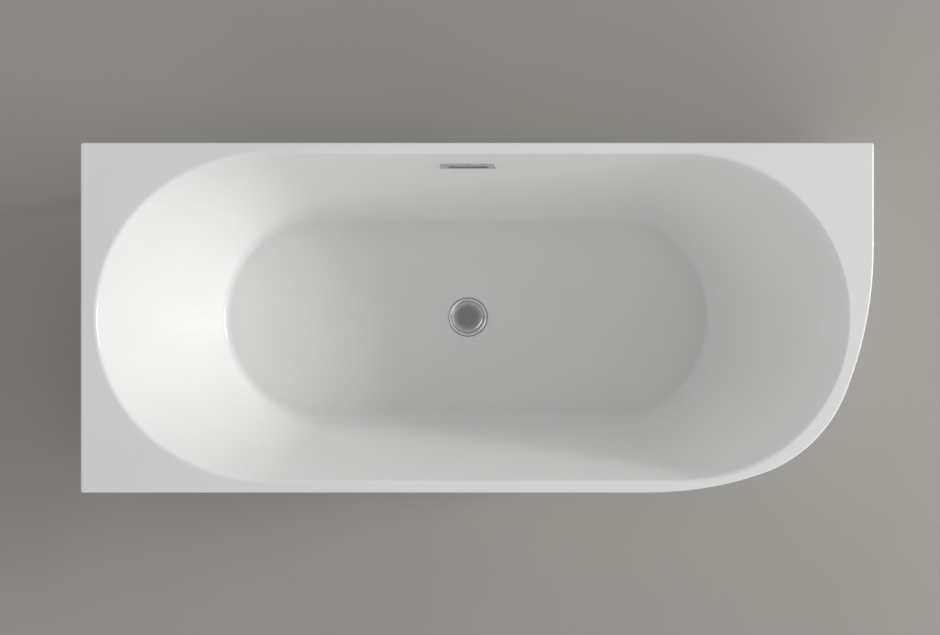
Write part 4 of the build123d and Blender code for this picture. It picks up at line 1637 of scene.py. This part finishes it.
    def build_cap(self) -> Piece:
        """Turns the plug's cap, which rests a hair off the middle of its seat, and dresses it.

        Returns:
            The cap.
        """
        centre = self.form.drain + Vector((*self.cap_rest, 0))
        cap = lathe("plug_cap_polished", centre, self.cap_profile(), self.count)
        smooth(cap, self.sharp_degrees)
        return put(cap, Slot.CHROME, "plug", "plug_cap")


@dataclass
class OverflowCover:
    """The satin cover over the overflow: a hollow plate with a slot, held by two bosses."""

    form: BathForm
    width: float = 0.121
    height: float = 0.0195
    drop: float = 0.0020
    proud: float = 0.0047
    corner: float = 0.0025
    edge_round: float = 0.0010
    edge_steps: int = 4
    wall: float = 0.0014
    seat_gap: float = 0.0002
    slot_width: float = 0.086
    slot_height: float = 0.0118
    slot_corner: float = 0.002
    slot_rise: float = 0.0023
    boss_offset: float = 0.050
    boss_radius: float = 0.0046
    boss_length: float = 0.016
    boss_break: float = 0.0005
    corner_count: int = 8
    boss_count: int = 24
    cut_reach: float = 0.001
    sharp_degrees: float = 40.0
    # Satin nickel blurs what it mirrors into an even grey
    satin: PlatedMetal = PlatedMetal(
        "brass_satin_nickel_plated", tints=((0.35, "#DADAD8"), (0.7, "#D1D1CF")),
        rough=Span(0.52, 0.58),
    )

    def section(self) -> Profile:
        """Gives the cover's section from its front to its hollow.

        Returns:
            Insets and heights.
        """
        low, r = self.seat_gap, self.edge_round
        rounding = arc((r, self.proud - r), r, 90, 180, self.edge_steps)
        inner = self.proud - self.wall
        return [*rounding, (0.0, low), (self.wall, low), (self.wall, inner)]

    def plate(self) -> Piece:
        """Models the hollow plate and opens its slot.

        Returns:
            The plate.
        """
        sunk = Vector((0, -self.drop, 0))
        loops = [[sunk + self.proud * UP for _ in range(4 * self.corner_count)]]
        for inset, z in self.section():
            corner = max(self.corner - inset, self.edge_round)
            outline = rounded_bar(
                self.width - 2 * inset, self.height - 2 * inset, corner, self.corner_count
            )
            loops.append([point + sunk + z * UP for point in outline])
        loops.append([sunk + (self.proud - self.wall) * UP for _ in range(4 * self.corner_count)])
        plate = loft("overflow_cover", loops)
        outline = rounded_bar(
            self.slot_width, self.slot_height, self.slot_corner, self.corner_count
        )
        lift = sunk + Vector((0, self.slot_rise, 0))
        cutter = loft(
            "cover_slot",
            [
                [point + lift + z * UP for point in outline]
                for z in (self.proud - self.wall - self.cut_reach, self.proud + self.cut_reach)
            ],
            Ends.FILLED,
        )
        cut(plate, cutter)
        return plate

    def boss(self, x: float) -> Piece:
        """Turns one boss that passes back through the bath's wall.

        Args:
            x: the boss's place along the cover.

        Returns:
            The boss.
        """
        radius, end = self.boss_radius, self.proud - self.wall / 2
        return lathe(
            "cover_boss", Vector((x, 0, 0)),
            [
                (0.0, -self.boss_length), (radius - self.boss_break, -self.boss_length),
                (radius, self.boss_break - self.boss_length), (radius, end), (0.0, end),
            ],
            self.boss_count,
        )

    def build(self, z: float) -> Piece:
        """Models the cover, sets it on the back slope and dresses it.

        Args:
            z: the height of the overflow.

        Returns:
            The cover.
        """
        bosses = [self.boss(-self.boss_offset), self.boss(self.boss_offset)]
        cover = self.plate()
        join(cover, bosses)
        cover.data.transform(self.form.slope_matrix(z))
        smooth(cover, self.sharp_degrees)
        return put(cover, Slot.CHROME, "bath", "overflow_trim", finish=self.satin)


@dataclass
class Feet:
    """The six levelling feet: threaded studs with a ball, on ribbed pads.

    One stud and one pad are modelled about the origin's upright axis and then copied.
    """

    numbers: tuple[int, ...] = (1, 2, 3, 4, 5, 6)
    ball_radius: float = 0.007
    ball_z: float = 0.012
    neck_radius: float = 0.0045
    ball_steps: int = 12
    hex_flats: float = 0.014
    hex_low: float = 0.021
    hex_high: float = 0.029
    hex_chamfer: float = 0.001
    hex_rise: float = 0.0002
    crest: float = 0.006
    root: float = 0.0052
    root_gap: float = 0.0001
    pitch: float = 0.00175
    pitch_steps: int = 4
    thread_end: float = 0.001
    top_z: float = 0.1114
    pad_radius: float = 0.022
    pad_edge: float = 0.004
    pad_round: float = 0.0008
    shoulder_z: float = 0.0125
    collar_radius: float = 0.0105
    pad_z: float = 0.0165
    socket_gap: float = 0.0001
    socket_steps: int = 10
    rib_depth: float = 0.0012
    # How far up the cone, and which share of the ribs' depth there
    rib_shares: tuple[tuple[float, float], ...] = ((0.08, 0.0), (0.2, 1.0), (0.8, 1.0), (0.92, 0.0))
    count: int = 24
    sharp_degrees: float = 32.0

    def hexagon(self, z: float) -> Loop:
        """Gives the spanner hexagon with as many points as the stud's circles.

        Args:
            z: the hexagon's height.

        Returns:
            The hexagon.
        """
        loop = []
        for k in range(self.count):
            angle = -FULL_TURN * k / self.count
            from_flat = (angle + math.pi / 6) % (math.pi / 3) - math.pi / 6
            radius = self.hex_flats / 2 / math.cos(from_flat)
            loop.append(radius * level(angle) + z * UP)
        return loop

    def thread(self, low: float, high: float) -> list[Loop]:
        """Gives the loops of a screw thread that climbs one pitch each turn.

        Args:
            low: the height of the thread's start.
            high: the height of its end.

        Returns:
            The loops from low to high.
        """
        steps = round((high - low) / self.pitch * self.pitch_steps)
        loops = []
        for step in range(steps + 1):
            z = low + (high - low) * step / steps
            fade = min(1.0, (high - z) / self.pitch, (z - low) / self.pitch)
            loop = []
            for k in range(self.count):
                angle = -FULL_TURN * k / self.count
                phase = (z / self.pitch - angle / FULL_TURN) % 1.0
                height = abs(2 * phase - 1)
                r = self.root + (self.crest - self.root) * height * fade
                loop.append(r * level(angle) + z * UP)
            loops.append(loop)
        return loops

    def stud(self) -> Piece:
        """Models one stud: ball, neck, spanner hexagon and thread.

        Returns:
            The stud.
        """

        def ring(radius: float, z: float) -> Loop:
            """Gives a circle round the stud's axis."""
            return circle(z * UP, max(radius, 0.0), self.count)

        neck_turn = math.degrees(math.acos(self.neck_radius / self.ball_radius))
        half = self.hex_chamfer / 2
        shoulder = self.hex_flats / 2 - half
        ball = arc((0, self.ball_z), self.ball_radius, -90, neck_turn, self.ball_steps)
        loops = [
            *(ring(radius, z) for radius, z in ball),
            ring(self.neck_radius, self.hex_low - self.hex_rise),
            ring(shoulder, self.hex_low),
            self.hexagon(self.hex_low + half),
            self.hexagon(self.hex_high - half),
            ring(shoulder, self.hex_high),
            ring(self.root + self.root_gap, self.hex_high),
            *self.thread(self.hex_high + self.thread_end, self.top_z - self.thread_end),
            ring(self.root - self.thread_end, self.top_z),
            ring(0.0, self.top_z),
        ]
        piece = loft("stud", loops)
        smooth(piece, self.sharp_degrees)
        return piece

    def pad(self) -> Piece:
        """Models one pad: a flat foot, ribs up its cone and a collar round the ball.

        Returns:
            The pad.
        """
        count, bend = 2 * self.count, self.pad_round

        def ring(radius: float, z: float) -> Loop:
            """Gives a circle round the pad's axis."""
            return circle(z * UP, max(radius, 0.0), count)

        loops = [
            ring(0.0, 0.0),
            ring(self.pad_radius - bend, 0.0),
            ring(self.pad_radius, bend),
            ring(self.pad_radius, self.pad_edge - bend),
            ring(self.pad_radius - bend, self.pad_edge),
        ]
        for share, depth_share in self.rib_shares:
            radius = self.pad_radius + (self.collar_radius - self.pad_radius) * share
            z = self.pad_edge + (self.shoulder_z - self.pad_edge) * share
            loop = []
            for k, point in enumerate(circle(Vector((0, 0, 0)), 1.0, count)):
                # The gap between two ribs takes the middle two of four points
                sunk = self.rib_depth * depth_share if k % 4 in (1, 2) else 0.0
                loop.append((radius - sunk) * point + z * UP)
            loops.append(loop)
        loops += [
            ring(self.collar_radius, self.shoulder_z),
            ring(self.collar_radius, self.pad_z - bend),
            ring(self.collar_radius - bend, self.pad_z),
        ]
        socket = self.ball_radius + self.socket_gap
        over = self.pad_z - self.ball_z
        start = math.degrees(math.atan2(over, math.sqrt(socket ** 2 - over ** 2)))
        hollow = arc((0, self.ball_z), socket, start, -90, self.socket_steps)
        loops += [ring(radius, z) for radius, z in hollow]
        piece = loft("pad", loops)
        smooth(piece, self.sharp_degrees)
        return piece

    def build(self) -> None:
        """Models one stud and one pad, and gives every foot its own copy."""
        stud, pad = self.stud(), self.pad()
        for number in self.numbers:
            low, high = (Vector(corner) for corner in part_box(f"foot_pad_{number}"))
            centre = (low + high) / 2
            centre.z = 0
            for model, kind, slot in (
                (stud, "stud", Slot.ZINC), (pad, "pad", Slot.BLACK_PLASTIC)
            ):
                piece = bpy.data.objects.new(f"levelling_{kind}_{number}", model.data.copy())
                bpy.context.scene.collection.objects.link(piece)
                piece.data.transform(Matrix.Translation(centre))
                put(piece, slot, f"{kind}_{number}", f"foot_{kind}_{number}")
        for model in (stud, pad):
            bpy.data.objects.remove(model, do_unlink=True)


@dataclass
class CarriedNodes:
    """The nodes that keep their shape: some softened in a merged copy, some only dressed.

    Each of its edges is the start of a node's name and the width of the bevel there.
    """

    edges: tuple[tuple[str, float], ...] = (
        ("base_board", 0.0006),
        ("deck_board", 0.0006),
        ("panel_blocks", 0.0008),
        ("panel_bracket", 0.0003),
        ("foot_weld_nuts", 0.0006),
        ("foot_lock_nuts", 0.0006),
        ("rail_end_caps", 0.0003),
        ("trap_nut", 0.0006),
        ("outlet_nut", 0.0006),
        ("overflow_pipe_nuts", 0.0005),
        ("overflow_box", 0.0005),
        ("waste_body", 0.0005),
    )
    bevel_segments: int = 2
    sharp_degrees: float = 35.0

    def build(self, done: set[str]) -> None:
        """Dresses every node that no new piece stands for.

        Args:
            done: the nodes that new pieces replace.
        """
        slots = {part["node"]: Slot(part["material_slot"]) for part in frame["record"]["subparts"]}
        owners = {
            node: body
            for body, nodes in frame["record"]["behaviour"]["bodies"].items()
            for node in nodes
        }
        for node in sorted(frame["nodes"]):
            if node in done:
                continue
            slot = slots[node]
            edge = next((width for start, width in self.edges if node.startswith(start)), None)
            if edge is None:
                self.dress(node, slot)
            else:
                put(self.soften(node, edge), slot, owners[node], node)

    def soften(self, node: str, edge: float) -> Piece:
        """Copies a node's mesh, joins its triangles and bevels its sharp edges.

        Args:
            node: the node's name.
            edge: the width of the bevel.

        Returns:
            The copy.
        """
        piece = bpy.data.objects.new(f"{node}_finished", frame["nodes"][node].data.copy())
        bpy.context.scene.collection.objects.link(piece)
        pick(piece)
        bpy.ops.mesh.customdata_custom_splitnormals_clear()
        bpy.ops.object.mode_set(mode="EDIT")
        bpy.ops.mesh.select_all(action="SELECT")
        bpy.ops.mesh.remove_doubles(threshold=MERGE_DISTANCE)
        bpy.ops.mesh.dissolve_limited(angle_limit=math.radians(FLAT_DEGREES))
        bpy.ops.object.mode_set(mode="OBJECT")
        apply_modifier(
            piece, "BEVEL", width=edge, segments=self.bevel_segments, limit_method="ANGLE",
            angle_limit=math.radians(self.sharp_degrees), use_clamp_overlap=True,
        )
        smooth(piece, self.sharp_degrees)
        return piece

    def dress(self, node: str, slot: Slot) -> None:
        """Gives a node's own object its finish.

        Args:
            node: the node's name.
            slot: its material slot.
        """
        material = FINISHES[slot].material()
        for place in frame["nodes"][node].material_slots:
            place.material = material
        log.info("%s dressed as %s", node, slot.value)


@dataclass
class Studio:
    """A plain floor, soft light from the rounded end and a camera straight above.

    The room's light goes from the walls' strength to the ceiling's by height. The low light is
    dimmed towards +X, where the key light hangs, and end_high is where that fades out upwards.
    """

    camera_x: float = -0.0155
    camera_y: float = 0.0005
    camera_z: float = 5.1
    lens_mm: float = 80.8
    floor_size: float = 40.0
    key_azimuth: float = 3.5
    key_elevation: float = 20.3
    key_distance: float = 9.0
    key_width: float = 2.2
    key_height: float = 0.8
    key_power: float = 452.0
    fill_place: tuple[float, float, float] = (2.63, -2.63, 3.35)
    fill_width: float = 5.0
    fill_height: float = 1.0
    fill_power: float = 16.0
    walls_to_ceiling: Span = Span(0.70, 0.26, 0.5, 0.97)
    end_dim: Span = Span(1.0, 0.58, 0.15, 0.7)
    end_high: Span = Span(0.0, 1.0, 0.22, 0.38)
    aim_z: float = 0.35

    def build(self) -> None:
        """Sets up the floor, the lights, the camera and the plain view of colours."""
        deselect_all()
        bpy.ops.mesh.primitive_plane_add(size=self.floor_size)
        floor = bpy.context.object
        floor.name = "studio_floor"
        floor.data.materials.append(PouredFloor("floor_poured_matt").material())
        turn, rise = math.radians(self.key_azimuth), math.radians(self.key_elevation)
        way = (math.cos(rise) * math.cos(turn), math.cos(rise) * math.sin(turn), math.sin(rise))
        place = Vector(way) * self.key_distance
        self.lamp("key_light", place, self.key_width, self.key_height, self.key_power)
        place = Vector(self.fill_place)
        self.lamp("fill_light", place, self.fill_width, self.fill_height, self.fill_power)
        bpy.context.scene.world = self.room()
        lens = bpy.data.cameras.new("camera")
        lens.lens = self.lens_mm
        camera = bpy.data.objects.new("camera", lens)
        camera.location = (self.camera_x, self.camera_y, self.camera_z)
        bpy.context.scene.collection.objects.link(camera)
        bpy.context.scene.camera = camera
        bpy.context.scene.view_settings.view_transform = "Standard"
        log.info("studio ready")

    def lamp(self, name: str, place: Vector, width: float, height: float, power: float) -> None:
        """Hangs a soft rectangular lamp that faces the bath.

        Args:
            name: the lamp's name.
            place: where it hangs from the point it faces.
            width: its width.
            height: its height.
            power: its power in watts.
        """
        lamp = bpy.data.lights.new(name, "AREA")
        lamp.shape = "RECTANGLE"
        lamp.size = width
        lamp.size_y = height
        lamp.energy = power
        hung = bpy.data.objects.new(name, lamp)
        hung.location = place + self.aim_z * UP
        hung.rotation_euler = (-place).to_track_quat("-Z", "Y").to_euler()
        bpy.context.scene.collection.objects.link(hung)

    def room(self) -> bpy.types.World:
        """Makes the room's soft light: most from its walls, less from above and under the key.

        Returns:
            The world that gives it.
        """
        world = bpy.data.worlds.new("soft_room_light")
        world.use_nodes = True
        tree = world.node_tree
        sky = tree.nodes["Background"]
        sky.inputs["Color"].default_value = linear("#FFFFFF")
        way = tree.nodes.new("ShaderNodeTexCoord").outputs["Generated"]
        mix = Recipe(tree, sky, way)
        x, z = (mix.add_node("SeparateXYZ", {}, mix.laid, axis) for axis in "XZ")
        strength = mix.add_node("MapRange", self.walls_to_ceiling.settings, {"Value": z})
        dim = mix.add_node("MapRange", self.end_dim.settings, {"Value": x})
        high = mix.add_node("MapRange", self.end_high.settings, {"Value": z})
        kept = mix.add_node("Math", {"operation": "MAXIMUM"}, {0: dim, 1: high})
        total = mix.add_node("Math", {"operation": "MULTIPLY"}, {0: strength, 1: kept})
        mix.feed("Strength", total)
        return world


def main() -> None:
    """Builds the studio and every piece of the bath."""
    logging.basicConfig(level=logging.INFO, format="%(name)s: %(message)s")
    Studio().build()
    form = BathForm()
    tub = Tub(form)
    tub.build()
    Backing(form).build(tub)
    Panel(form).build()
    drain = Drain(form)
    drain.build_ring()
    drain.build_cap()
    drain.build_gasket_and_shadow_line()
    OverflowCover(form).build(tub.overflow_z)
    feet = Feet()
    feet.build()
    done = {"tub_shell", "fibreglass_backing", "outer_panel"}
    done |= {"waste_flange", "waste_top_gasket", "plug_cap", "overflow_trim"}
    done |= {f"foot_{kind}_{number}" for kind in ("stud", "pad") for number in feet.numbers}
    CarriedNodes().build(done)


if __name__ == "__main__":
    main()
